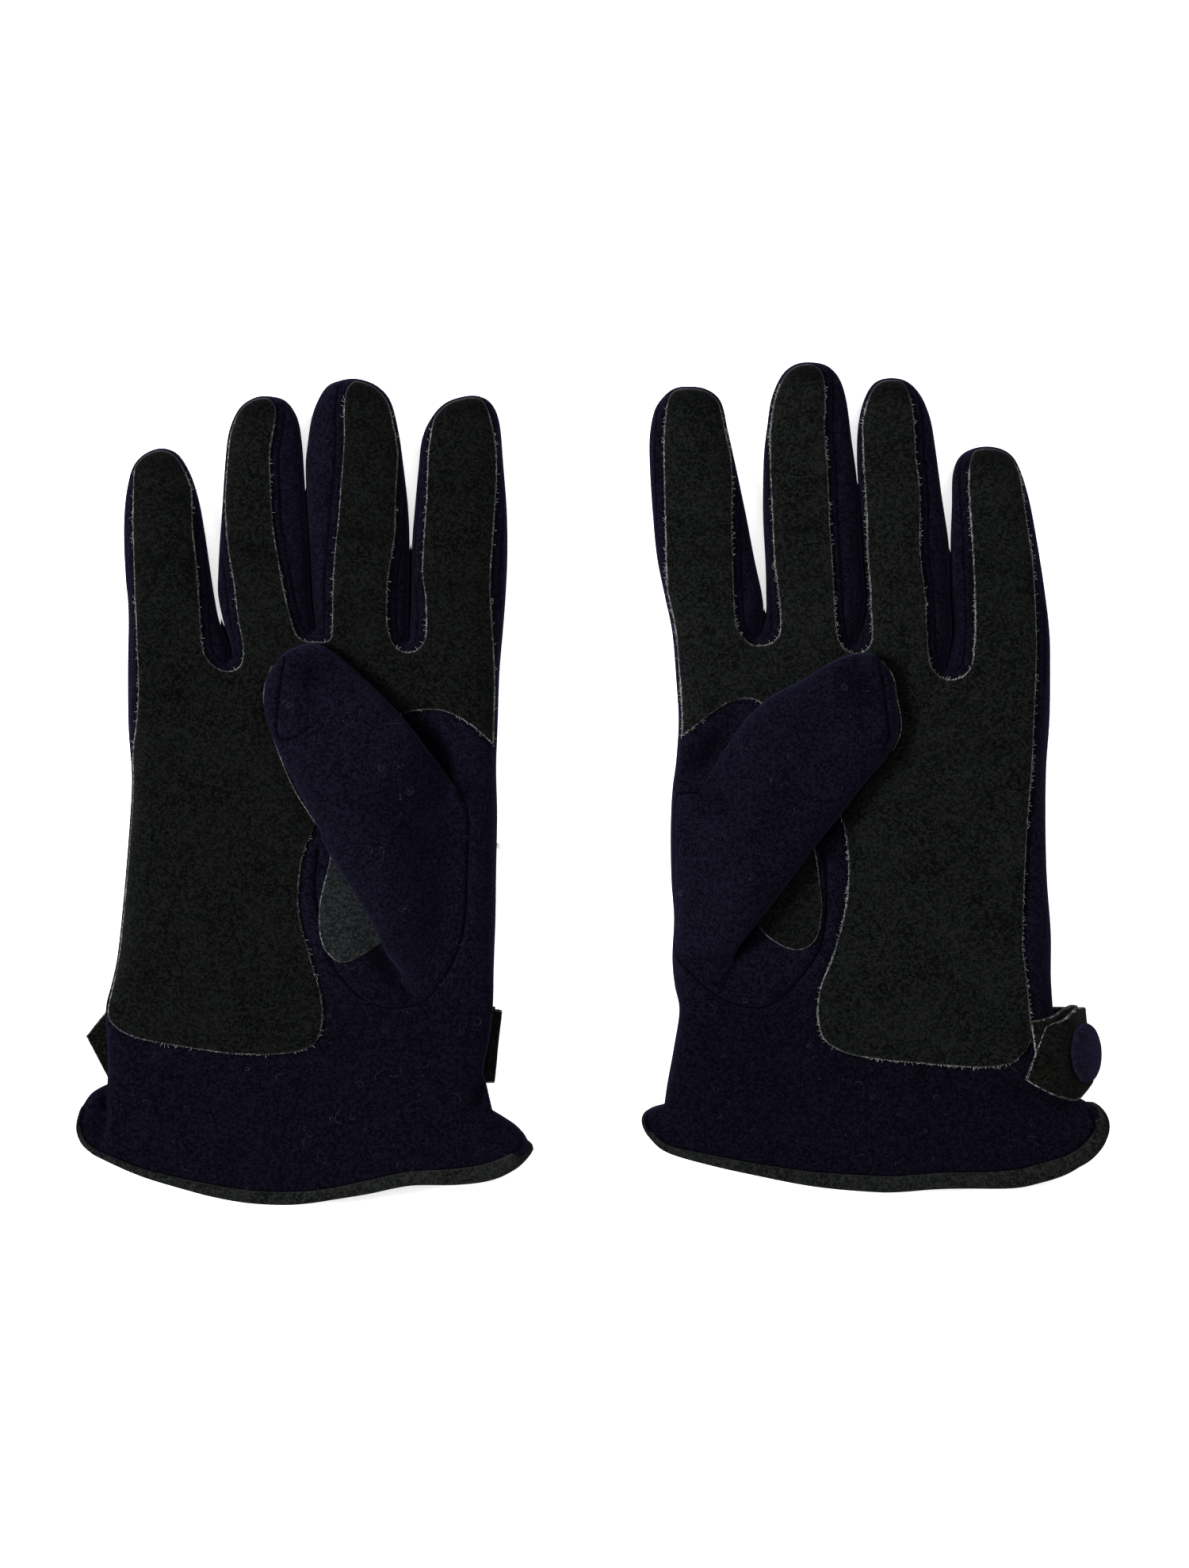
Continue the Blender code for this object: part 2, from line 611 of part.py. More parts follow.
def main():
    clear_scene()
    parts = new_collection("riding_gloves")
    helpers = new_collection("cutters")
    materials = make_materials()
    for glove in (RIGHT, LEFT):
        build = Builder(glove.side, parts, helpers, materials)
        make_hand(build, glove)
        make_overlays(build, glove)
        make_gusset(build, glove)
        for digit in glove.fingers:
            make_finger(build, glove, digit)
        make_thumb(build, glove)
        make_strap(build, glove)


main()
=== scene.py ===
"""A pair of riding gloves lying palm up: navy brushed knit, dark suede overlays and a wrist strap.

Every outline is a list of points in millimetres, seen from above and measured from its glove's
anchor: the middle of the palm panel across, and that panel's far end along the fingers. The
points were picked by eye on the photo, and a separate script turned them into millimetres at the
CAD's scale. Heights come from the CAD nodes. Each soft surface is a sheet of triangles over such
an outline, lifted to a height that is a function of place, so that whatever lies on it can follow
it exactly.
"""

import math
import random
from dataclasses import dataclass

import bpy
import numpy as np
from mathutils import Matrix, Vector, kdtree, noise
from mathutils.geometry import delaunay_2d_cdt


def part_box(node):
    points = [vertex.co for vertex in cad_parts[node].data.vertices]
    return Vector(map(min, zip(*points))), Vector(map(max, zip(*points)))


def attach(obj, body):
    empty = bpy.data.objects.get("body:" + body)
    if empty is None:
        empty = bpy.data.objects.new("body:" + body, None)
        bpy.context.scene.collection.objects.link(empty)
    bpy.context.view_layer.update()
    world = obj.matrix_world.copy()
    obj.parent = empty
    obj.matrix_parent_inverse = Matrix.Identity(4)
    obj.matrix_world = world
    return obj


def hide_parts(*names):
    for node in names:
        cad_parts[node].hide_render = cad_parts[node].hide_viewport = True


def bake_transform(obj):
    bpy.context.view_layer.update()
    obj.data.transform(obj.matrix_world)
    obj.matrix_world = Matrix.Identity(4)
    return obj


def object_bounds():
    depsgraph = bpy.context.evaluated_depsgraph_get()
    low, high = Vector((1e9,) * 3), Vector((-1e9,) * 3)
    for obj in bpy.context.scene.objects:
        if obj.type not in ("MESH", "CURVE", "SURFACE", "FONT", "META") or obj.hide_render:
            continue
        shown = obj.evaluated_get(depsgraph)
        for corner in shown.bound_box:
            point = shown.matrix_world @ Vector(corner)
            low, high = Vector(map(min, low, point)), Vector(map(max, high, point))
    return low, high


MM = 0.001

TINY = 1e-12
FINGERS = ("little", "ring", "middle", "index")  # across the right-hand glove, from low X

# Sizes of the real thing, in millimetres

FABRIC = 1.2  # wall of the knit
SUEDE = 0.95  # thickness of the overlays
RAW_EDGE = 0.4  # width of an overlay's bevelled cut edge
PATCH_MARGIN = 0.9  # least distance from the palm patch to the glove's rim
FOURCHETTE_SEAM = 2.5  # from a finger strip to the seam of the fourchette beside it
HAND_ROUND = 9.0  # how far in from its edge the hand rounds over
FINGER_ROUND = 12.0
ROUND_POWER = 2.2  # superellipse exponent of that rounding
TIP_SHARE = 0.8  # height of the cloth at the fingertips, as a share of the CAD fingers' top
MIDDLE_SHARE = 0.44  # height of the rim between the glove's two layers
HEM_RISE = 1.4  # how much the flared hem stands up
STRAP_LIFT = {"right": 7.1, "left": 3.05}  # from the back's lowest point to the cloth on it
THUMB_THICKNESS = 10.5
THUMB_ROUND = 11.0
THUMB_TUCK = 0.8  # how far the thumb's edge draws back where its suede shows
THUMB_BAND = 9.0  # width of the suede band behind the thumb
SPLIT_BELOW = 6.0  # how far below the crotches a finger's own mesh starts
LINING_DEPTH = 75.0  # how far inside the cuff the inner face is modelled
BINDING_THICKNESS = 2.9
PLY = 1.0  # thickness of the strap
RIGHT_HINGE = -116.4  # X of the line that the right-hand glove's strap end opens on
BUTTON_RADIUS = 9.0
BUTTON_HEIGHT = 3.6
BUTTON_RIM = 0.9  # height of the button where its dome meets its side
BUTTON_TILT = 58.0  # degrees from level, of the left-hand glove's button
FIBRE_RADIUS = 0.035
STITCH_WIDTH = 0.9
STITCH_LENGTH = 0.7

# Lines along seams, as (height or depth, half width)

GUSSET_GROOVE = (0.8, 0.5)
GUSSET_SWELL = (0.6, 1.8)  # the cloth that stands up on both sides of the groove
SWELL_REACH = 2.2
FOURCHETTE_GROOVE = (0.9, 0.5)
PATCH_GROOVE = (0.4, 1.1)
THUMB_TIP_GROOVE = (0.9, 0.7)

# Painted shade along them: how dark it is, as (share from 0 to 1, half width)

FOURCHETTE_SHADE = (0.8, 0.4)
PATCH_SHADE = (0.7, 0.8)
GUSSET_SHADE = (0.95, 0.34)
HEM_SHADE = (0.9, 0.55)
CROTCH_SHADE = (0.95, 1.3)
THUMB_TIP_SHADE = (0.9, 0.4)

# The left-hand glove's strap: (x, y, height) along both edges, from its end on the palm's side.
# X is from the flap's high-X side, and Y from the strap's own top or bottom edge. The heights
# were chosen after the CAD strap's corners.

WRIST_STRAP_TOP = (
    (-20.0, -3.3, 20.2), (-16.6, -2.8, 20.5), (-13.2, -1.6, 20.2), (-10.2, 0.2, 18.9),
    (-8.1, 1.2, 16.2), (-6.6, 1.2, 12.5), (-5.0, 0.7, 8.5), (-5.2, 0.2, 4.9), (-8.2, 0.0, 2.5),
    (-15.0, 0.0, 2.1),
)
WRIST_STRAP_LOW = (
    (-17.7, 3.0, 20.0), (-14.5, 2.0, 20.3), (-11.4, 1.3, 19.6), (-9.0, 0.7, 17.6),
    (-6.8, 0.5, 14.6), (-4.6, 0.3, 11.5), (-2.6, 0.2, 8.2), (-3.6, 0.1, 4.9), (-7.7, 0.0, 2.5),
    (-15.0, 0.0, 2.1),
)
STRAP_END_TOP = (
    (-15.7, -5.0, 21.8), (-13.2, -3.7, 22.1), (-10.7, -2.9, 21.8), (-8.2, -1.1, 20.4),
    (-6.1, 0.5, 17.8), (-4.4, 0.6, 14.2), (-2.8, 0.3, 9.5), (-2.4, 0.1, 6.0), (-3.0, 0.0, 3.4),
)
STRAP_END_LOW = (
    (-21.7, 2.1, 20.9), (-17.5, -0.4, 21.8), (-13.3, -2.5, 21.9), (-9.6, -3.7, 20.6),
    (-6.3, -4.4, 17.9), (-3.3, -2.6, 14.0), (-0.4, 0.5, 9.5), (-0.7, 0.3, 6.0), (-2.4, 0.0, 3.6),
)

# How fine the meshes are, in millimetres

MESH_STEP = 1.15  # spacing of a sheet's points
EDGE_STEP = 0.9
SEAM_STEP = 0.6
CURVE_STEPS = 12  # points of a curve for each point of its outline
CLEAR_OF_ROWS = 0.4  # least distance from a sheet's points to its seams' rows
CLEAR_OF_EDGE = 0.25
RIBBON_ACROSS = 30  # points across a strap
TUBE_POWER = 0.8  # below 1, a tube is squarer than an ellipse

# Looks

GRAIN_SCALE = 1.7  # cells of nap or fuzz to a millimetre
WARM = (1.12, 0.98, 0.94)  # how a warm cell of the grain differs from the cloth's own color
VIOLET = (0.5, 0.45, 1.0, 1.0)  # the knit's sheen

# Stage, in metres

FLOOR_SIZE = 3.0
FLOOR_Z = -0.0004
LONG_SIDE = 0.4747  # of the table that the picture's long side covers
CAMERA_Y = -0.0006
CAMERA_Z = 1.35

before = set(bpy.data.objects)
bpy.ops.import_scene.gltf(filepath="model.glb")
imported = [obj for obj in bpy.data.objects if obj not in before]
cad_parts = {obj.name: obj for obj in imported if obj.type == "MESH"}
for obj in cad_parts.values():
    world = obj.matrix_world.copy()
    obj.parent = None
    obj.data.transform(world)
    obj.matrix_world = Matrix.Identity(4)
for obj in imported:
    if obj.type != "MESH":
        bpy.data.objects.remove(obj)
CAD_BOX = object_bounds()


@dataclass(frozen=True)
class Plan:
    """One glove's outlines. A point is (x, y), or (x, y, 1) where the outline has a corner."""

    side: str
    rim: tuple  # from the hem's low-X corner round the fingers to its high-X corner
    hem: tuple  # between the same two corners, along the middle of the binding
    hem_widths: tuple  # of the binding, evenly spaced along the hem
    hem_peek: float  # how far the back layer's binding stands out at the high-X corner
    patch: tuple
    slits: tuple  # between neighbouring fingers, from the crotch to beyond the tips
    touching: tuple  # how far up from each crotch the neighbours touch
    pale_gusset: bool  # whether the gusset's suede is the pale side of the skin
    gusset_seam: tuple
    thumb: tuple  # its free edges, from the end of the crease round the tip to the gusset seam
    thumb_sewn: tuple  # the rest of its outline, back along the gusset seam
    thumb_axis: tuple  # from its base to its tip
    thumb_patch: tuple
    thumb_suede: tuple  # where the suede on the thumb's other side shows past its edge
    tip_seam: tuple
    folds: tuple  # (x, y, degrees, length, width, height)
    hollows: tuple  # the same, in the hand only
    thumb_folds: tuple
    frayed: float  # how much of the suede's cut edges is pale
    lint: int
    tufts: tuple  # where a small bunch of fibres stands off the rim


RIGHT = Plan(
    side="right",
    rim=(
        (-66.3, -145.1), (-64.2, -141.9), (-61.6, -139.9), (-58.9, -138.6, 1), (-58.6, -131.7),
        (-59.1, -122.1), (-59.3, -115.3), (-57.7, -107.7), (-56.0, -98.1), (-54.3, -81.3),
        (-52.9, -64.5), (-51.9, -46.5), (-52.9, -30.9), (-53.1, -14.1), (-52.9, 0.3), (-53.1, 7.5),
        (-53.8, 14.7), (-54.3, 24.3), (-54.3, 32.7), (-53.6, 40.7), (-51.7, 48.3), (-48.1, 52.4),
        (-43.0, 54.1), (-38.2, 52.4), (-34.4, 46.7), (-31.7, 38.7), (-29.8, 28.7), (-27.9, 15.9),
        (-26.7, 8.3), (-25.3, 1.5), (-22.4, -5.7), (-21.4, -9.7, 1), (-22.1, -5.2), (-24.2, 1.8),
        (-25.7, 9.5), (-25.7, 15.9), (-25.3, 24.3), (-24.5, 36.3), (-23.6, 50.7), (-22.4, 59.6),
        (-19.3, 66.3), (-14.7, 69.5), (-9.9, 69.9), (-5.1, 68.3), (-1.7, 63.2), (-0.3, 55.5),
        (0.4, 45.9), (1.7, 24.3), (2.6, 7.5), (3.8, -0.9, 1), (3.0, 7.8), (2.0, 24.6),
        (0.8, 45.9), (1.4, 55.5), (3.1, 65.1), (6.7, 72.3), (11.2, 74.7), (16.5, 75.2),
        (22.3, 73.1), (26.6, 68.3), (29.0, 59.1), (30.4, 49.5), (31.9, 36.3), (32.4, 24.3),
        (32.2, 9.9), (32.1, -4.0, 1), (32.8, 7.5), (33.1, 24.3), (34.0, 36.3), (35.0, 47.1),
        (36.2, 57.2), (39.3, 63.9), (43.4, 68.0), (48.9, 69.9), (53.5, 69.9), (57.3, 67.5),
        (59.7, 61.5), (60.9, 48.3), (61.9, 35.1), (62.1, 21.9), (61.6, 9.9), (60.7, -2.1),
        (59.7, -14.1), (59.2, -28.5), (58.7, -42.9), (59.0, -57.3), (58.7, -74.1), (58.5, -88.5),
        (58.0, -102.9), (57.8, -114.9), (56.8, -124.5), (54.9, -134.1), (55.9, -139.0),
        (57.6, -146.4, 1), (61.2, -148.6), (64.6, -151.0), (67.0, -153.6), (68.3, -155.9),
    ),
    hem=(
        (-66.3, -145.1), (-67.2, -150.9), (-65.8, -155.4), (-62.9, -158.2), (-60.1, -159.8),
        (-48.5, -164.7), (-34.4, -168.6), (-20.2, -171.6), (-7.7, -172.7), (3.5, -172.2),
        (17.9, -169.8), (32.1, -166.9), (46.3, -166.2), (55.9, -164.9), (63.3, -161.9),
        (67.6, -158.4), (68.3, -155.9),
    ),
    hem_widths=(1.2, 1.8, 2.2, 2.8, 3.6, 4.0, 4.0, 3.6, 4.2, 4.2, 5.0, 5.4, 4.2),
    hem_peek=0.0,
    patch=(
        (-50.9, 21.9), (-51.2, 39.9), (-50.5, 49.5), (-47.3, 53.1), (-43.0, 53.9), (-38.2, 52.4),
        (-35.3, 47.1), (-33.4, 41.1), (-32.9, 30.3), (-31.7, 19.1), (-30.5, 3.7), (-29.6, -6.4),
        (-27.7, -10.7), (-24.3, -13.3), (-20.7, -13.6), (-18.1, -11.4), (-17.6, -6.4),
        (-19.3, 2.7), (-20.7, 14.0), (-22.4, 23.6), (-23.3, 33.9), (-23.6, 45.9), (-22.9, 55.5),
        (-21.7, 62.7), (-18.8, 67.5), (-14.7, 69.5), (-10.4, 69.0), (-8.0, 65.9), (-8.2, 60.3),
        (-9.4, 52.2), (-9.2, 40.7), (-8.5, 30.3), (-6.8, 19.8), (-4.9, 9.9), (-2.7, 0.8),
        (-0.3, -4.0), (4.5, -4.9), (8.8, -4.0), (9.3, 2.7), (9.5, 12.3), (10.0, 21.7),
        (11.0, 31.3), (11.9, 43.5), (12.7, 55.5), (12.7, 66.3), (14.1, 72.6), (18.2, 75.0),
        (23.0, 73.1), (26.6, 68.7), (28.7, 61.5), (29.2, 53.1), (28.5, 38.7), (28.3, 27.5),
        (26.8, 17.9), (25.9, 8.5), (26.3, -1.1), (28.0, -5.7), (30.9, -7.8), (34.3, -7.6),
        (36.9, -4.9), (37.6, -1.1), (37.4, 8.5), (36.4, 15.9), (36.9, 27.5), (37.6, 38.7),
        (38.3, 54.1), (40.5, 64.4), (44.8, 68.5), (50.1, 69.9), (54.4, 68.5), (56.8, 63.9),
        (58.5, 55.5), (59.0, 45.9), (58.0, 27.5), (57.1, 12.3), (57.8, -1.1), (58.5, -16.2),
        (58.6, -36.9, 1), (55.4, -33.7), (50.1, -29.4), (44.1, -26.3), (38.1, -25.6),
        (28.5, -27.3), (18.9, -33.3), (9.3, -45.3), (4.5, -59.7), (1.6, -66.6), (-0.1, -74.1),
        (-0.8, -83.7), (0.2, -90.9), (2.1, -97.3), (4.0, -104.1), (5.9, -110.3), (6.7, -118.0),
        (5.2, -124.7), (1.6, -127.8), (-5.8, -129.3), (-15.4, -129.5), (-24.8, -128.8),
        (-40.1, -126.4), (-49.5, -124.5), (-55.3, -121.8), (-58.6, -118.0), (-59.0, -113.2),
        (-57.0, -107.4), (-55.6, -92.1), (-53.5, -77.9), (-51.9, -58.0), (-51.2, -40.0),
        (-49.5, -25.8), (-49.3, -14.1), (-50.2, 3.7),
    ),
    slits=(
        ((-21.4, -9.7), (-24.6, 0.5), (-26.2, 12.0), (-28.0, 32.0), (-30.0, 90.0)),
        ((3.8, -0.9), (2.8, 7.6), (1.9, 24.4), (0.6, 45.9), (0.5, 90.0)),
        ((32.1, -4.0), (32.5, 9.0), (32.7, 24.3), (33.0, 90.0)),
    ),
    touching=(13.0, 44.0, 29.0),
    pale_gusset=True,
    gusset_seam=(
        (48.4, -51.5), (50.1, -55.3), (50.6, -61.8), (50.1, -73.1), (49.6, -87.5), (47.7, -96.9),
        (43.4, -106.0), (37.9, -112.7), (31.1, -115.3), (24.4, -115.1), (17.9, -112.2),
        (13.1, -107.4), (9.3, -101.7), (5.2, -86.1), (4.3, -77.7), (5.2, -67.6),
    ),
    thumb=(
        (31.1, -115.3), (29.6, -110.0), (30.2, -105.0), (26.3, -99.3), (22.5, -91.1),
        (17.0, -81.7), (9.3, -69.3), (3.5, -58.9),
        (-2.0, -48.4), (-7.7, -37.1), (-10.9, -28.5), (-11.6, -21.7), (-10.6, -15.3),
        (-7.7, -11.2), (-2.9, -7.6), (2.6, -5.7), (8.3, -7.1), (15.1, -12.4), (22.5, -19.1),
        (28.3, -24.9), (33.1, -30.4), (38.8, -38.1), (44.3, -45.7), (48.4, -51.5),
    ),
    thumb_sewn=(
        (48.4, -51.5), (50.1, -55.3), (50.6, -61.8), (50.1, -73.1), (49.6, -87.5), (47.7, -96.9),
        (43.4, -106.0), (37.9, -112.7), (31.1, -115.3),
    ),
    thumb_axis=((38.0, -82.0), (0.0, -18.0)),
    thumb_patch=(
        (4.5, -52.5, 1), (7.4, -62.1), (8.8, -69.3), (6.9, -77.9), (5.5, -84.6), (5.5, -92.1),
        (6.9, -97.3), (9.8, -100.7), (13.6, -101.7), (18.9, -99.3), (24.9, -95.0),
        (30.5, -86.1, 1), (16.5, -64.5, 1),
    ),
    thumb_suede=(
        (5.7, -61.8), (1.6, -55.7), (-2.5, -48.9), (-6.5, -39.4), (-9.3, -31.2), (-11.2, -23.1),
        (-10.8, -17.5), (-8.6, -12.1),
    ),
    tip_seam=(
        (-4.4, -9.7), (-5.8, -20.1), (-6.5, -27.3), (-6.8, -32.3), (-4.6, -34.5), (-0.5, -33.5),
        (3.5, -30.6),
    ),
    folds=(
        (49.0, 12.0, 4, 11, 2.6, -0.7), (49.0, 17.0, -3, 12, 2.2, 0.5), (49.0, 7.0, 6, 9, 2.0, 0.35),
        (20.0, 27.0, -4, 10, 2.2, -0.7), (20.5, 23.0, 3, 10, 2.2, 0.45), (19.0, 5.0, 8, 9, 2.4, -0.35),
        (-14.0, 22.0, -14, 10, 2.6, -0.75), (-13.0, 17.5, -10, 9, 2.2, 0.4),
        (-40.0, 20.0, 5, 9, 2.4, -0.35), (-40.0, -21.0, -6, 12, 2.4, -0.55),
        (-38.0, -27.0, -5, 13, 2.6, 0.4), (46.0, 40.0, 8, 8, 3.0, -0.25),
        (-42.0, 38.0, -8, 8, 3.0, -0.25), (17.0, 50.0, 2, 8, 3.0, -0.2),
    ),
    hollows=(
        (40.0, -38.0, -52, 11, 3.6, -4.5), (-59.6, -146.5, 87, 8, 1.3, -4.0),
        (-56.3, -147.0, 87, 8, 1.2, 0.8), (54.4, -141.5, 78, 5, 1.5, -5.0),
        (58.6, -150.5, -45, 8, 1.8, -1.6), (54.0, -146.0, -45, 9, 2.6, 1.0),
        (-30.0, -146.0, 12, 26, 7.0, -0.8), (20.0, -142.0, -8, 30, 6.0, -0.6),
        (-20.0, -75.0, 30, 30, 10.0, 0.6), (-30.0, -45.0, -20, 24, 8.0, -0.5),
        (26.0, -103.5, -61, 11, 3.2, -3.2),
    ),
    thumb_folds=(
        (3.0, -16.0, 60, 7, 5.0, -1.2), (-1.0, -22.0, 80, 9, 1.8, 0.5),
        (30.0, -60.0, -50, 16, 7.0, -0.6), (42.0, -52.0, 40, 6, 2.0, -0.8),
    ),
    frayed=0.35,
    lint=70,
    tufts=((58.0, -66.4), (58.6, 1.5)),
)

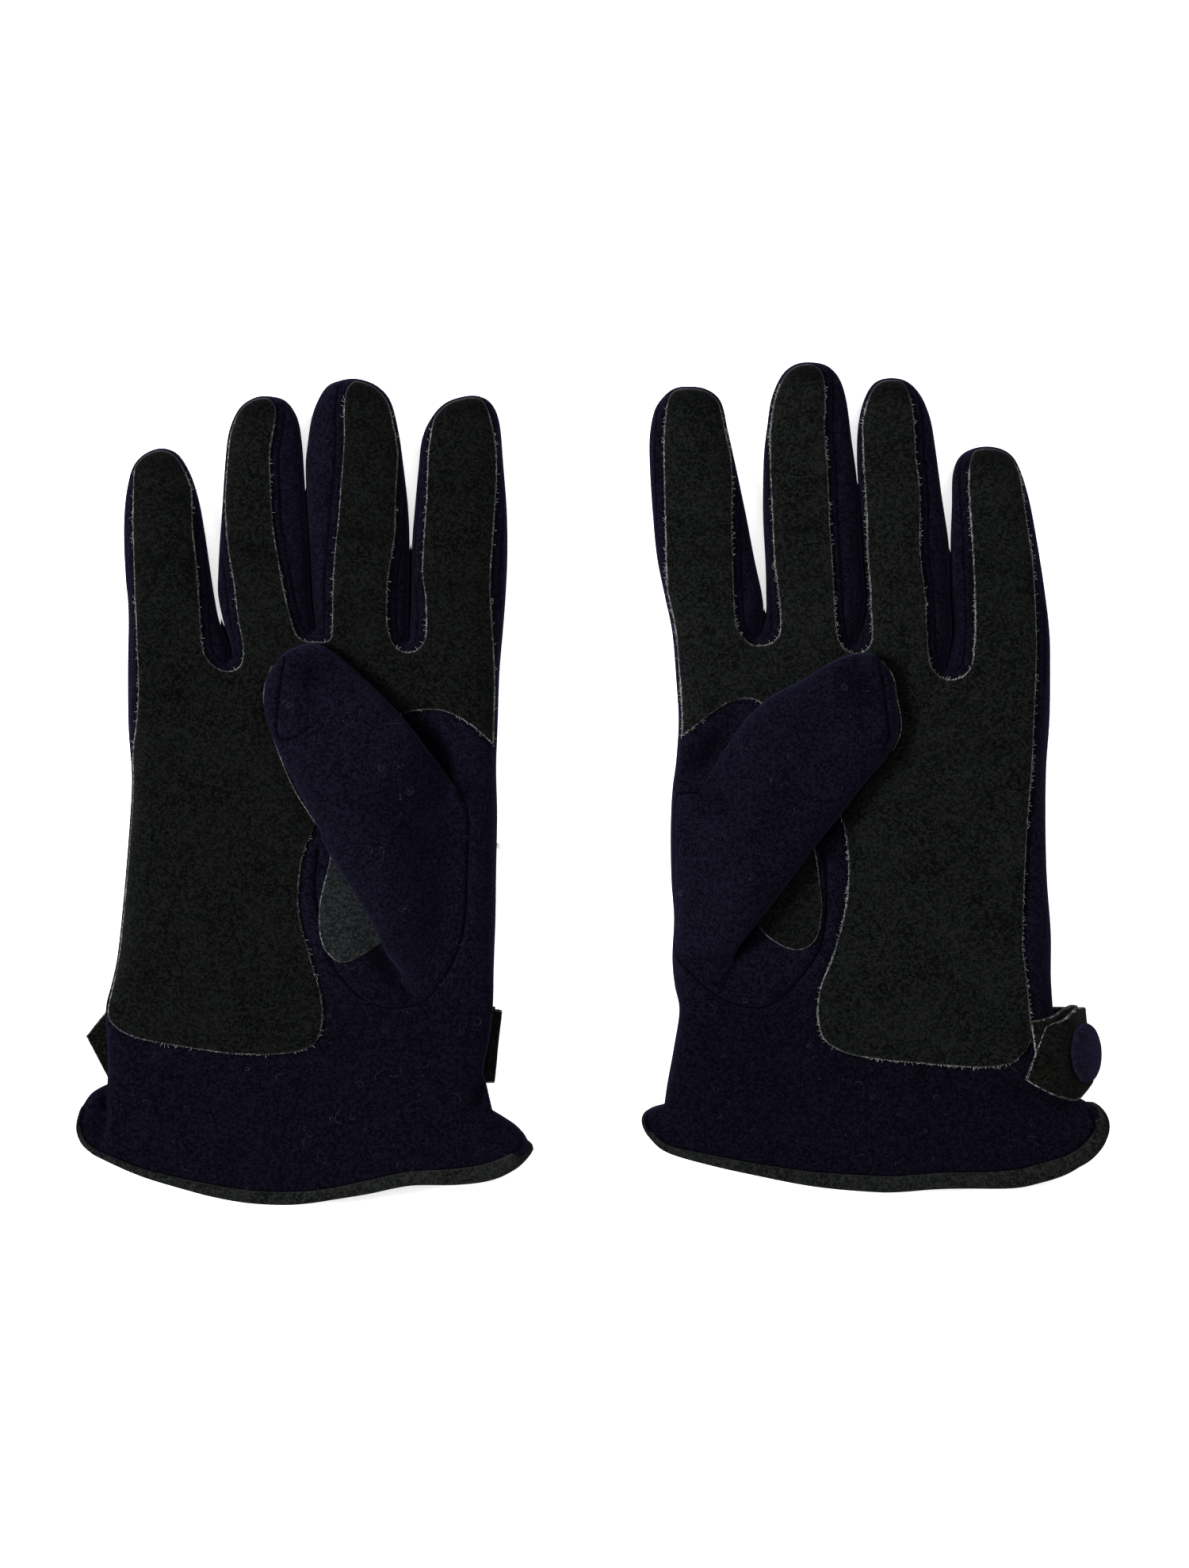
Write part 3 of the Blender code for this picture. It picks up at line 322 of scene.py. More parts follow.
LEFT = Plan(
    side="left",
    rim=(
        (-69.9, -149.8), (-67.6, -148.4), (-64.1, -147.4, 1), (-63.2, -141.1), (-61.2, -130.1),
        (-59.6, -119.1), (-61.0, -111.6), (-61.7, -103.2), (-61.2, -91.2), (-62.0, -79.2),
        (-62.2, -64.8), (-61.7, -52.8), (-60.5, -43.2), (-59.8, -31.2), (-60.5, -19.2),
        (-61.7, -4.8), (-63.9, 6.0), (-66.3, 18.0), (-67.6, 31.2), (-68.5, 45.6), (-68.5, 55.2),
        (-67.0, 62.9), (-64.1, 67.2), (-60.8, 69.6), (-56.0, 70.1), (-50.9, 69.1), (-46.8, 65.3),
        (-44.7, 56.4), (-42.3, 45.6), (-39.4, 31.7), (-36.8, 18.0), (-34.4, 6.7), (-34.0, 0.0),
        (-35.3, -5.3, 1), (-33.3, 1.0), (-33.2, 8.0), (-33.4, 16.8), (-34.1, 31.2),
        (-33.9, 48.0), (-32.9, 57.6), (-31.5, 66.5), (-28.6, 73.2), (-25.0, 76.5), (-20.5, 77.5),
        (-14.9, 76.5), (-10.9, 72.5), (-8.7, 65.5), (-7.2, 54.0), (-5.5, 40.8), (-3.9, 19.2),
        (-3.2, 2.4), (-6.3, -7.7, 1), (-2.9, 2.4), (-3.6, 19.2), (-5.1, 38.4), (-5.6, 49.2),
        (-5.1, 58.8), (-3.2, 66.5), (-0.1, 71.3), (4.8, 72.7), (9.8, 71.5), (13.9, 67.2),
        (16.8, 60.0), (18.4, 50.4), (20.1, 37.2), (22.3, 21.6), (22.6, 7.2), (23.2, -4.8),
        (21.1, -15.6, 1), (23.6, -4.8), (23.0, 7.6), (22.8, 21.6), (23.2, 33.6), (23.5, 43.2),
        (25.6, 48.7), (29.9, 51.3), (35.5, 51.8), (40.5, 49.9), (43.6, 45.6), (46.5, 36.5),
        (48.9, 24.0), (51.3, 8.4), (52.8, -4.8), (53.0, -16.8), (52.8, -31.2), (51.8, -45.6),
        (51.6, -62.4), (52.0, -79.2), (53.2, -96.0), (53.2, -110.4), (53.9, -122.4),
        (55.1, -134.4), (57.6, -142.0), (60.4, -144.9), (63.8, -146.9),
    ),
    hem=(
        (-69.9, -149.8), (-70.2, -153.1), (-68.0, -156.7), (-62.5, -160.8), (-48.8, -164.3),
        (-33.9, -167.3), (-19.2, -169.7), (-4.6, -170.9), (5.2, -171.2), (19.9, -170.2),
        (39.5, -169.8), (48.7, -168.0), (57.5, -165.1), (64.0, -160.6), (67.4, -155.3),
        (66.6, -150.2), (63.8, -146.9),
    ),
    hem_widths=(1.4, 2.4, 3.2, 3.6, 4.2, 4.8, 5.0, 4.8, 5.0, 5.6, 5.8, 5.4, 2.6),
    hem_peek=1.8,
    patch=(
        (-63.4, 9.6), (-64.1, 33.6), (-64.4, 52.8), (-63.2, 64.8), (-60.8, 68.6), (-56.5, 69.8),
        (-51.7, 69.4), (-48.1, 66.5), (-45.7, 60.5), (-44.2, 51.6), (-43.5, 42.0), (-43.7, 28.8),
        (-43.5, 18.0), (-42.8, -0.2), (-41.3, -5.0), (-38.2, -8.2), (-34.4, -8.7), (-31.0, -7.4),
        (-29.3, -3.8), (-29.6, 5.8), (-31.0, 17.3), (-31.5, 30.2), (-32.2, 44.9), (-32.0, 59.5),
        (-30.5, 67.2), (-28.1, 73.2), (-24.3, 76.5), (-19.2, 76.5), (-16.1, 73.0), (-15.4, 64.3),
        (-15.7, 56.6), (-14.7, 43.0), (-14.2, 29.0), (-13.5, 17.3), (-12.5, -1.2), (-11.3, -7.7),
        (-8.4, -10.6), (-5.1, -11.0), (-2.2, -8.7), (-1.5, -4.1), (-2.2, 7.2), (-2.7, 19.2),
        (-3.2, 35.0), (-4.1, 49.7), (-4.1, 61.2), (-2.7, 68.2), (0.7, 71.8), (5.2, 72.7),
        (8.6, 70.5), (10.5, 65.3), (11.5, 57.6), (11.9, 48.7), (13.1, 37.0), (13.1, 20.4),
        (14.6, 5.8), (15.1, -4.8), (15.8, -13.4), (17.7, -17.0), (21.1, -19.0), (24.9, -18.5),
        (27.8, -15.8), (29.0, -10.8), (29.5, 0.7), (28.8, 20.4), (28.0, 33.6), (27.8, 43.2),
        (29.2, 49.4), (32.1, 51.3), (36.2, 51.8), (40.3, 49.9), (42.9, 45.6), (44.3, 37.9),
        (45.8, 26.9), (47.2, 17.3), (47.9, 4.8), (48.2, -9.1), (47.5, -28.8), (46.8, -44.2),
        (45.3, -63.6), (44.3, -83.3), (43.9, -97.9), (44.8, -107.8), (45.8, -117.6),
        (46.3, -127.4), (43.6, -132.5), (38.6, -135.4), (29.7, -136.1), (15.1, -135.1),
        (0.2, -133.7), (-9.4, -131.8), (-15.4, -128.4), (-17.6, -123.8), (-18.1, -117.6),
        (-16.9, -110.6), (-14.0, -103.9), (-11.6, -96.0), (-9.4, -86.2), (-8.7, -77.3),
        (-9.4, -67.7), (-10.9, -61.2), (-15.7, -49.2), (-25.2, -36.0), (-34.9, -26.4),
        (-39.9, -25.0), (-44.7, -26.2), (-49.7, -29.3), (-55.5, -33.8), (-59.4, -36.5, 1),
        (-60.6, -21.6), (-62.0, -4.8),
    ),
    slits=(
        ((-35.3, -5.3), (-33.6, 1.0), (-34.2, 10.0), (-36.5, 31.0), (-38.0, 90.0)),
        ((-6.3, -7.7), (-3.0, 2.4), (-3.7, 19.2), (-5.3, 39.5), (-6.5, 52.0), (-6.5, 90.0)),
        ((21.1, -15.6), (23.4, -4.8), (22.8, 7.4), (22.6, 21.6), (21.5, 40.0), (21.0, 90.0)),
    ),
    touching=(9.0, 50.0, 37.0),
    pale_gusset=False,
    gusset_seam=(
        (-54.5, -53.3), (-58.4, -53.5), (-60.6, -54.6), (-61.2, -62.4), (-61.4, -81.6),
        (-60.9, -100.8), (-55.7, -108.2), (-47.6, -115.0), (-37.7, -118.1), (-30.5, -116.2),
        (-22.4, -108.2), (-17.3, -100.1), (-15.4, -89.5), (-15.7, -76.3), (-18.1, -67.2),
    ),
    thumb=(
        (-47.6, -115.0), (-43.9, -106.0), (-42.5, -100.8), (-37.0, -93.1), (-27.2, -80.4),
        (-19.2, -69.6), (-11.3, -59.8),
        (-3.7, -49.9), (2.3, -43.2), (5.7, -38.2), (6.9, -32.4), (5.9, -24.5), (4.5, -16.8),
        (0.2, -12.2), (-3.7, -11.3), (-9.4, -12.0), (-15.4, -14.7), (-23.3, -19.7),
        (-31.0, -23.5), (-34.9, -26.4), (-40.8, -32.4), (-46.6, -41.0), (-50.7, -48.0),
        (-54.5, -55.2),
    ),
    thumb_sewn=(
        (-54.5, -55.2), (-57.8, -61.2), (-59.8, -72.0), (-60.4, -86.4), (-60.0, -100.8),
        (-55.7, -108.2), (-47.6, -115.0),
    ),
    thumb_axis=((-46.0, -80.0), (-4.0, -24.0)),
    thumb_patch=(
        (-38.9, -86.8, 1), (-34.9, -95.0), (-29.1, -99.4), (-24.3, -100.8), (-20.7, -99.8),
        (-17.8, -96.0), (-16.6, -88.1), (-17.3, -80.4), (-18.5, -71.5), (-20.5, -64.8, 1),
        (-32.7, -70.0, 1),
    ),
    thumb_suede=(
        (1.4, -13.4), (4.9, -18.2), (5.9, -24.0), (7.2, -30.5), (7.1, -35.5), (4.6, -41.0),
    ),
    tip_seam=(
        (-0.5, -13.4), (1.1, -19.2), (2.3, -28.8), (3.1, -35.5), (1.6, -39.6),
    ),
    folds=(
        (-53.0, 17.0, 3, 12, 2.6, -0.6), (-53.0, 12.0, -3, 11, 2.4, 0.5),
        (-53.0, 26.0, 2, 10, 2.2, -0.3), (-22.0, 26.0, 2, 10, 2.2, -0.75),
        (-22.0, 30.0, -2, 10, 2.0, 0.45), (-22.0, 11.0, 5, 9, 2.2, -0.45),
        (6.0, 11.0, 0, 9, 2.4, -0.5), (5.0, 42.0, -4, 8, 2.6, -0.3),
        (37.0, 14.0, 4, 9, 2.6, -0.3), (39.0, -92.0, 5, 8, 2.4, -0.6), (37.0, -97.0, 2, 9, 2.4, 0.35),
        (34.0, -40.0, 8, 12, 3.0, -0.4), (-55.0, 45.0, 4, 8, 3.0, -0.25),
    ),
    hollows=(
        (-52.0, -42.0, 52, 10, 3.6, -3.6), (-62.0, -148.0, 60, 6, 2.2, -1.2),
        (46.0, -146.0, -40, 12, 4.0, -1.8), (58.0, -148.0, -48, 9, 3.0, -1.2),
        (-20.0, -146.0, -6, 30, 6.0, -0.6), (20.0, -142.0, 4, 30, 7.0, -0.6),
        (20.0, -80.0, 80, 30, 9.0, -0.5), (30.0, -55.0, 20, 22, 8.0, 0.5),
        (-40.5, -99.0, 52, 5.5, 2.6, -3.2),
    ),
    thumb_folds=(
        (-6.0, -22.0, -60, 7, 5.0, -1.0), (-34.0, -62.0, 50, 16, 7.0, -0.6),
        (-47.0, -56.0, -40, 6, 2.0, -0.8),
    ),
    frayed=0.9,
    lint=55,
    tufts=(),
)


# Geometry in the plane, in millimetres


def extended(run):
    """The points with one more at each end, which carries straight on."""
    return np.vstack([2 * run[0] - run[1], run, 2 * run[-1] - run[-2]])


def catmull(points):
    """A Catmull-Rom curve through all the points but the first and the last."""
    t = np.linspace(0, 1, CURVE_STEPS, endpoint=False)[:, None]
    curve = []
    for a, b, c, d in zip(points, points[1:], points[2:], points[3:]):
        curve.append(0.5 * (2 * b + (c - a) * t + (2 * a - 5 * b + 4 * c - d) * t**2
                            + (3 * b - a - 3 * c + d) * t**3))
    return np.vstack([*curve, points[-2][None]])


def lengths_along(points):
    """How far along the polyline each of its points lies."""
    return np.concatenate([[0], np.cumsum(np.linalg.norm(np.diff(points, axis=0), axis=1))])


def evenly(curve, step):
    """The curve with its points an even step apart."""
    along = lengths_along(curve)
    count = max(2, int(round(along[-1] / step)) + 1)
    at = np.linspace(0, along[-1], count)
    return np.column_stack([np.interp(at, along, curve[:, k]) for k in range(2)])


def smoothed(points, step, closed=False):
    """A curve through the points, sharp where a point has a third value, at an even spacing."""
    xy = np.array([p[:2] for p in points], float)
    corners = [i for i, p in enumerate(points) if len(p) > 2]
    if closed:
        turn = corners[0] if corners else 0
        xy = np.roll(xy, -turn, axis=0)
        xy = np.vstack([xy, xy[:1]])
        if not corners:
            return evenly(catmull(np.vstack([xy[-2], xy, xy[1]])), step)
        corners = [i - turn for i in corners]
    ends = sorted({0, *corners, len(xy) - 1})
    runs = [evenly(catmull(extended(xy[a : b + 1])), step)[:-1] for a, b in zip(ends, ends[1:])]
    return np.vstack([*runs, xy[-1:]])


class Line:
    """A polyline that gives the distance to itself, and how far along it the nearest point is."""

    def __init__(self, points):
        self.points = np.asarray(points, float)
        self.along = lengths_along(self.points)
        self.tree = kdtree.KDTree(len(self.points))
        for i, (x, y) in enumerate(self.points):
            self.tree.insert((x, y, 0), i)
        self.tree.balance()

    def nearest(self, xy):
        """(distance, distance along the line) for every point."""
        index = np.array([self.tree.find((x, y, 0))[1] for x, y in xy])
        best = np.full(len(xy), np.inf)
        where = np.zeros(len(xy))
        for shift in (-1, 0):
            i = np.clip(index + shift, 0, len(self.points) - 2)
            a = self.points[i]
            run = self.points[i + 1] - a
            length = np.maximum((run**2).sum(1), TINY)
            t = np.clip(((xy - a) * run).sum(1) / length, 0, 1)
            distance = np.linalg.norm(xy - a - run * t[:, None], axis=1)
            closer = distance < best
            best = np.where(closer, distance, best)
            where = np.where(closer, self.along[i] + t * np.sqrt(length), where)
        return best, where

    def distance(self, xy):
        return self.nearest(xy)[0]


def edge_of(polygon):
    """The polygon's edge as a line that comes back to its start."""
    return Line(np.vstack([polygon, polygon[:1]]))


def inside(xy, polygon):
    """Which points lie inside the polygon."""
    result = np.zeros(len(xy), bool)
    x, y = xy.T
    for (x0, y0), (x1, y1) in zip(polygon, np.roll(polygon, -1, axis=0)):
        if y0 != y1:
            result ^= ((y0 > y) != (y1 > y)) & (x < (x1 - x0) * (y - y0) / (y1 - y0) + x0)
    return result


def inward(polyline, polygon, reach=0.3):
    """Unit normals of a polyline that point into the polygon, as tested this far from it."""
    run = np.gradient(polyline, axis=0)
    normal = np.column_stack([run[:, 1], -run[:, 0]])
    normal /= np.maximum(np.linalg.norm(normal, axis=1), 1e-9)[:, None]
    tested = inside(polyline + normal * reach, polygon)
    return normal if tested.mean() > 0.5 else -normal


def grid_over(polygon):
    """Points on a grid of even triangles that lie inside the polygon."""
    low, high = polygon.min(0), polygon.max(0)
    rows = []
    for i, y in enumerate(np.arange(low[1], high[1], MESH_STEP * math.sqrt(3) / 2)):
        xs = np.arange(low[0] + (i % 2) * MESH_STEP / 2, high[0], MESH_STEP)
        rows.append(np.column_stack([xs, np.full(len(xs), y)]))
    grid = np.vstack(rows)
    return grid[inside(grid, polygon)]


def twice_area(points, faces):
    """Twice each triangle's area as seen from above, below zero where it is wound clockwise."""
    a, b, c = (points[faces[:, k]] for k in range(3))
    return (b[:, 0] - a[:, 0]) * (c[:, 1] - a[:, 1]) - (b[:, 1] - a[:, 1]) * (c[:, 0] - a[:, 0])


def triangulated(polygon, rings, extra=(), barriers=()):
    """Triangles that fill the polygon. Rings are distances from its edge that get a row of
    points, extra are more such rows, and barriers are polylines that no triangle crosses."""
    edge = edge_of(polygon)
    normal = inward(polygon, polygon)
    points = [polygon]
    for ring in rings:
        row = polygon + normal * ring
        points.append(row[(edge.distance(row) > 0.93 * ring) & inside(row, polygon)])
    grid = grid_over(polygon)
    grid = grid[edge.distance(grid) > max(rings) + 0.5 * MESH_STEP]
    for row in (*extra, *barriers):
        grid = grid[Line(row).distance(grid) > CLEAR_OF_ROWS]
    for row in extra:
        row = row[inside(row, polygon)]
        points.append(row[edge.distance(row) > CLEAR_OF_EDGE])
    points.append(grid)
    edges = [(i, (i + 1) % len(polygon)) for i in range(len(polygon))]
    base = sum(len(p) for p in points)
    for row in barriers:
        points.append(row)
        edges += [(base + i, base + i + 1) for i in range(len(row) - 1)]
        base += len(row)
    result = delaunay_2d_cdt([Vector(p) for p in np.vstack(points)], edges, [], 1, 1e-4)
    xy = np.array([tuple(v) for v in result[0]])
    faces = np.array([f for f in result[2] if len(f) == 3])
    area = twice_area(xy, faces)
    faces[area < 0] = faces[area < 0][:, ::-1]
    return xy, faces[np.abs(area) > 1e-7]


# Heights


def smoothstep(t):
    t = np.clip(t, 0, 1)
    return t * t * (3 - 2 * t)


def bell(distance, shape):
    """The shape's height where the distance is 0, fading to nothing within a few widths."""
    height, width = shape
    return height * np.exp(-((distance / width) ** 2))


def rounding(distance, radius):
    """From 0 at an edge to 1 where the cloth has turned level."""
    t = 1 - np.clip(distance / radius, 0, 1)
    return np.maximum(1 - t**ROUND_POWER, 0) ** (1 / ROUND_POWER)


def round_rings(radius):
    """Distances from an edge that follow its rounding closely."""
    return [radius * (1 - math.cos(math.radians(a))) for a in (12, 22, 33, 45, 58, 72)]


def bumps(xy, folds):
    """The summed height of soft ridges and valleys."""
    height = np.zeros(len(xy))
    for x, y, degrees, length, width, top in folds:
        a = math.radians(degrees)
        along = (xy[:, 0] - x) * math.cos(a) + (xy[:, 1] - y) * math.sin(a)
        across = (xy[:, 1] - y) * math.cos(a) - (xy[:, 0] - x) * math.sin(a)
        height += top * np.exp(-((along / length) ** 2) - (across / width) ** 2)
    return height


def rough(xy, size, seed):
    """Smooth unevenness with bumps of about this size."""
    return np.array([noise.noise((x / size, y / size, seed)) for x, y in xy])


def box_mm(node):
    """A CAD node's lowest and highest corners in millimetres."""
    return tuple(np.array(corner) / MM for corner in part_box(node))


# The gloves' shapes


class Glove:
    """The heights of one glove over the plane, in millimetres in the frame's axes."""

    def __init__(self, plan):
        self.plan = plan
        self.side = plan.side
        low, high = box_mm(f"{self.side}_palm_panel")
        self.anchor = np.array([(low[0] + high[0]) / 2, high[1]])
        self.palm_top = high[2]
        self.tip = max(box_mm(f"{self.side}_{finger}_finger")[1][1] for finger in FINGERS)
        self.finger_top = box_mm(f"{self.side}_middle_finger")[1][2]
        self.strap_low, self.strap_high = box_mm(f"{self.side}_strap")
        self.floor = box_mm(f"{self.side}_back_panel")[0][2]
        self.set_hand()
        self.set_thumb()

    def set_hand(self):
        plan = self.plan
        self.rim = self.curve(plan.rim)
        self.hem = self.curve(plan.hem)
        self.outline = np.vstack([self.rim, self.hem[-2:0:-1]])
        self.rim_line = Line(self.rim)
        self.hem_line = Line(self.hem)
        self.patch = self.kept_inside(self.curve(plan.patch, closed=True)[:-1], PATCH_MARGIN)
        self.patch_line = edge_of(self.patch)
        self.gusset_seam = self.curve(plan.gusset_seam, SEAM_STEP)
        self.gusset_line = Line(self.gusset_seam)
        self.slits = [self.place(slit) for slit in plan.slits]
        self.split_y = min(slit[0][1] for slit in self.slits) - SPLIT_BELOW
        self.folds = self.place(plan.folds)
        self.hollows = self.place(plan.hollows)

    def set_thumb(self):
        """The folded thumb, tucked in a little where the suede behind it shows past its edge."""
        plan = self.plan
        free = self.curve(plan.thumb)
        sewn = self.curve(plan.thumb_sewn)
        outline = np.vstack([free, sewn[1:-1]])
        self.thumb_suede = self.curve(plan.thumb_suede)
        close = Line(self.thumb_suede).distance(outline)
        tuck = THUMB_TUCK * (1 - smoothstep((close - 1.0) / 2.0))
        self.thumb = outline + inward(outline, outline) * tuck[:, None]
        self.thumb_free = Line(self.thumb[: len(free)])
        self.thumb_out_x = -inward(self.thumb_free.points, self.thumb)[:, 0]
        self.thumb_sewn = Line(sewn)
        self.thumb_fade = Line(np.array(self.place(plan.thumb[:2])))
        self.thumb_patch = self.curve(plan.thumb_patch, closed=True)[:-1]
        self.thumb_axis = self.place(plan.thumb_axis)
        self.thumb_folds = self.place(plan.thumb_folds)
        self.tip_seam = Line(self.curve(plan.tip_seam, SEAM_STEP))

    def place(self, points):
        """The plan's points or folds, moved from the glove's anchor to the frame's axes."""
        return [(p[0] + self.anchor[0], p[1] + self.anchor[1], *p[2:]) for p in points]

    def curve(self, points, step=EDGE_STEP, closed=False):
        return smoothed(self.place(points), step, closed)

    def kept_inside(self, points, margin):
        """The points, moved where needed to lie this far inside the glove's rim."""
        distance, along = self.rim_line.nearest(points)
        bad = (distance < margin) | ~inside(points, self.outline)
        normal = inward(self.rim, self.outline)
        x, y, in_x, in_y = (
            np.interp(along, self.rim_line.along, row) for row in (*self.rim.T, *normal.T)
        )
        moved = np.column_stack([x + in_x * margin, y + in_y * margin])
        return np.where(bad[:, None], moved, points)

    def finger_at(self, xy):
        """0 to 3 from low X to high X, for points beyond the split line, and -1 in the hand."""
        index = np.zeros(len(xy), int)
        for slit in self.slits:
            ys = np.array([self.split_y - 50, *(p[1] for p in slit)])
            xs = np.array([slit[0][0], *(p[0] for p in slit)])
            index += xy[:, 0] > np.interp(xy[:, 1], ys, xs)
        index[xy[:, 1] < self.split_y] = -1
        return index

    def finger_names(self):
        """The fingers' names from low X to high X."""
        return FINGERS if self.side == "right" else FINGERS[::-1]

    def levels(self, xy):
        """(bottom, middle, top) of the empty hand before its edges are rounded."""
        y = xy[:, 1]
        below_strap, above_strap = self.strap_low[1] - 4, self.strap_high[1] + 14
        up = smoothstep((y - self.split_y) / (self.tip - self.split_y))
        top = self.palm_top + (self.finger_top * TIP_SHARE - self.palm_top) * up
        near_hem = smoothstep((below_strap - y) / (below_strap - self.hem[:, 1].min()))
        over_strap = smoothstep((above_strap - y) / 14)
        lift = self.floor + STRAP_LIFT[self.side]
        bottom = lift * over_strap * (1 - smoothstep(near_hem * 2.2)) + 0.35
        top = top + HEM_RISE * near_hem
        return bottom, bottom + (top - bottom) * MIDDLE_SHARE, top

    def in_fingers(self, xy):
        """From 0 in the hand to 1 in the fingers."""
        return smoothstep((xy[:, 1] - self.split_y + 3) / 6)

    def detail(self, xy):
        """Folds, unevenness and sunk seams of the skin's top."""
        detail = bumps(xy, self.folds) + bumps(xy, self.hollows)
        detail += 0.35 * rough(xy, 26, 3.0) + 0.16 * rough(xy, 9, 7.0)
        off_seam = self.gusset_line.distance(xy)
        detail -= bell(off_seam, GUSSET_GROOVE)
        detail += bell(off_seam - SWELL_REACH, GUSSET_SWELL)
        outside = ~inside(xy, self.patch)
        off_patch = self.patch_line.distance(xy)
        off_fourchette = off_patch - FOURCHETTE_SEAM
        detail -= bell(off_fourchette, FOURCHETTE_GROOVE) * self.in_fingers(xy) * outside
        detail -= bell(off_patch, PATCH_GROOVE) * outside
        return detail

    def heights(self, xy):
        """(bottom, top) of the skin."""
        bottom, middle, top = self.levels(xy)
        distance = self.rim_line.distance(xy)
        finger = smoothstep((xy[:, 1] - self.split_y) / 26)
        full = rounding(distance, HAND_ROUND + (FINGER_ROUND - HAND_ROUND) * finger)
        level = smoothstep(distance / 4)
        up = middle + (top - middle) * full + self.detail(xy) * level
        down = middle - (middle - bottom) * full + 0.3 * rough(xy, 18, 11.0) * level
        return np.maximum(down, 0.05), up

    def top(self, xy):
        return self.heights(xy)[1]

    def worn(self, xy):
        """Height of whatever covers the palm: the skin, or the suede on it."""
        distance = self.patch_line.distance(xy)
        covered = inside(xy, self.patch) * smoothstep(distance / RAW_EDGE)
        return self.top(xy) + SUEDE * covered

    def skin_painted_shade_and_tone(self, xy):
        """The painted shade at each point of the skin, from 0 to 1: shade painted into its seams,
        crotches and hollows, along the hem's binding and beside the thumb. The cuff's knit is also
        a little darker than the hand's."""
        off_patch = self.patch_line.distance(xy)
        seam = bell(off_patch - FOURCHETTE_SEAM, FOURCHETTE_SHADE) * self.in_fingers(xy)
        off_hem, along = self.hem_line.nearest(xy)
        half = self.width_along(along / self.hem_line.along[-1]) / 2
        darks = [
            np.maximum(seam, bell(off_patch, PATCH_SHADE)) * ~inside(xy, self.patch),
            bell(self.gusset_line.distance(xy), GUSSET_SHADE),
            0.75 * np.clip(-bumps(xy, self.hollows) / 4.5, 0, 1),
            bell(off_hem - half, HEM_SHADE),
            0.26 * smoothstep((self.strap_high[1] + 18 - xy[:, 1]) / 24),
            self.beside_thumb(xy),
        ]
        for slit in self.slits:
            crotch = Line(evenly(np.array(slit)[:3], SEAM_STEP))
            darks.append(bell(crotch.distance(xy), CROTCH_SHADE))
        return np.max(darks, axis=0)

    def beside_thumb(self, xy):
        """How little light reaches each point under the thumb's high-X side, from 0 to 1."""
        distance, along = self.thumb_free.nearest(xy)
        faces_away = np.interp(along, self.thumb_free.along, self.thumb_out_x)
        near = bell(distance, (0.8, 1.6)) + bell(distance, (0.25, 5.0))
        near = np.clip(near, 0, 0.85) * smoothstep((along - 7.0) / 8)
        return near * smoothstep(faces_away * 1.6)

    def tips(self, xy):
        """From 0 along a finger to 1 round its tip, where the suede's edge turns under."""
        index = self.finger_at(xy)
        own = self.finger_at(self.patch)
        near = np.zeros(len(xy))
        for i in range(len(FINGERS)):
            tip = self.patch[own == i][:, 1].max()
            here = index == i
            near[here] = smoothstep((xy[here, 1] - tip + 8.5) / 5.5)
        return near

    def width_along(self, share):
        """Width of the binding at a share of the hem's length."""
        widths = self.plan.hem_widths
        return np.interp(share, np.linspace(0, 1, len(widths)), widths)

    def suede_painted_shade_and_tone(self, xy):
        """The painted shade at each point of the suede, from 0 to 1, in its soft folds and beside the
        thumb, and how much darker it is near a fingertip.
        """
        folds = np.clip(-bumps(xy, self.folds) / 2.0, 0, 0.45)
        return np.maximum(np.maximum(folds, 0.42 * self.tips(xy)), 0.7 * self.beside_thumb(xy))

    def along_thumb(self, xy):
        """0 at the thumb's base and 1 at its tip."""
        a, b = (np.array(p) for p in self.thumb_axis)
        return ((xy - a) @ (b - a)) / ((b - a) @ (b - a))

    def thumb_levels(self, xy):
        """(under, middle, top) of the folded thumb before its edges are rounded."""
        rise = smoothstep(self.thumb_sewn.distance(xy) / 24)
        rise = rise * smoothstep(self.thumb_fade.distance(xy) / 7.5)
        skin = self.top(xy) - 0.12
        under = skin + (self.palm_top + 0.4 + SUEDE - skin) * rise
        thick = THUMB_THICKNESS * rise
        thick = thick * (1 - 0.22 * smoothstep((self.along_thumb(xy) - 0.55) / 0.6))
        return under, under + thick * 0.42, under + thick

    def thumb_heights(self, xy):
        """(under, top) of the folded thumb."""
        under, middle, top = self.thumb_levels(xy)
        distance = self.thumb_free.distance(xy)
        full = rounding(distance, THUMB_ROUND)
        detail = 0.5 * rough(xy, 22, 21.0) + 0.2 * rough(xy, 8, 5.0)
        detail += bumps(xy, self.thumb_folds)
        detail -= bell(self.tip_seam.distance(xy), THUMB_TIP_GROOVE)
        level = smoothstep(distance / 4) * smoothstep(self.thumb_sewn.distance(xy) / 9)
        up = middle + (top - middle) * full + detail * level
        down = middle - (middle - under) * full
        return down, np.maximum(up, down)

    def thumb_painted_shade(self, xy):
        """The painted shade at each point of the thumb, from 0 to 1, in its seams and folds."""
        tip = bell(self.tip_seam.distance(xy), THUMB_TIP_SHADE)
        sewn = bell(self.gusset_line.distance(xy), GUSSET_SHADE)
        deep = 0.5 * np.clip(-bumps(xy, self.thumb_folds) / 1.2, 0, 1)
        return np.maximum(np.maximum(tip, sewn), deep)


# Meshes


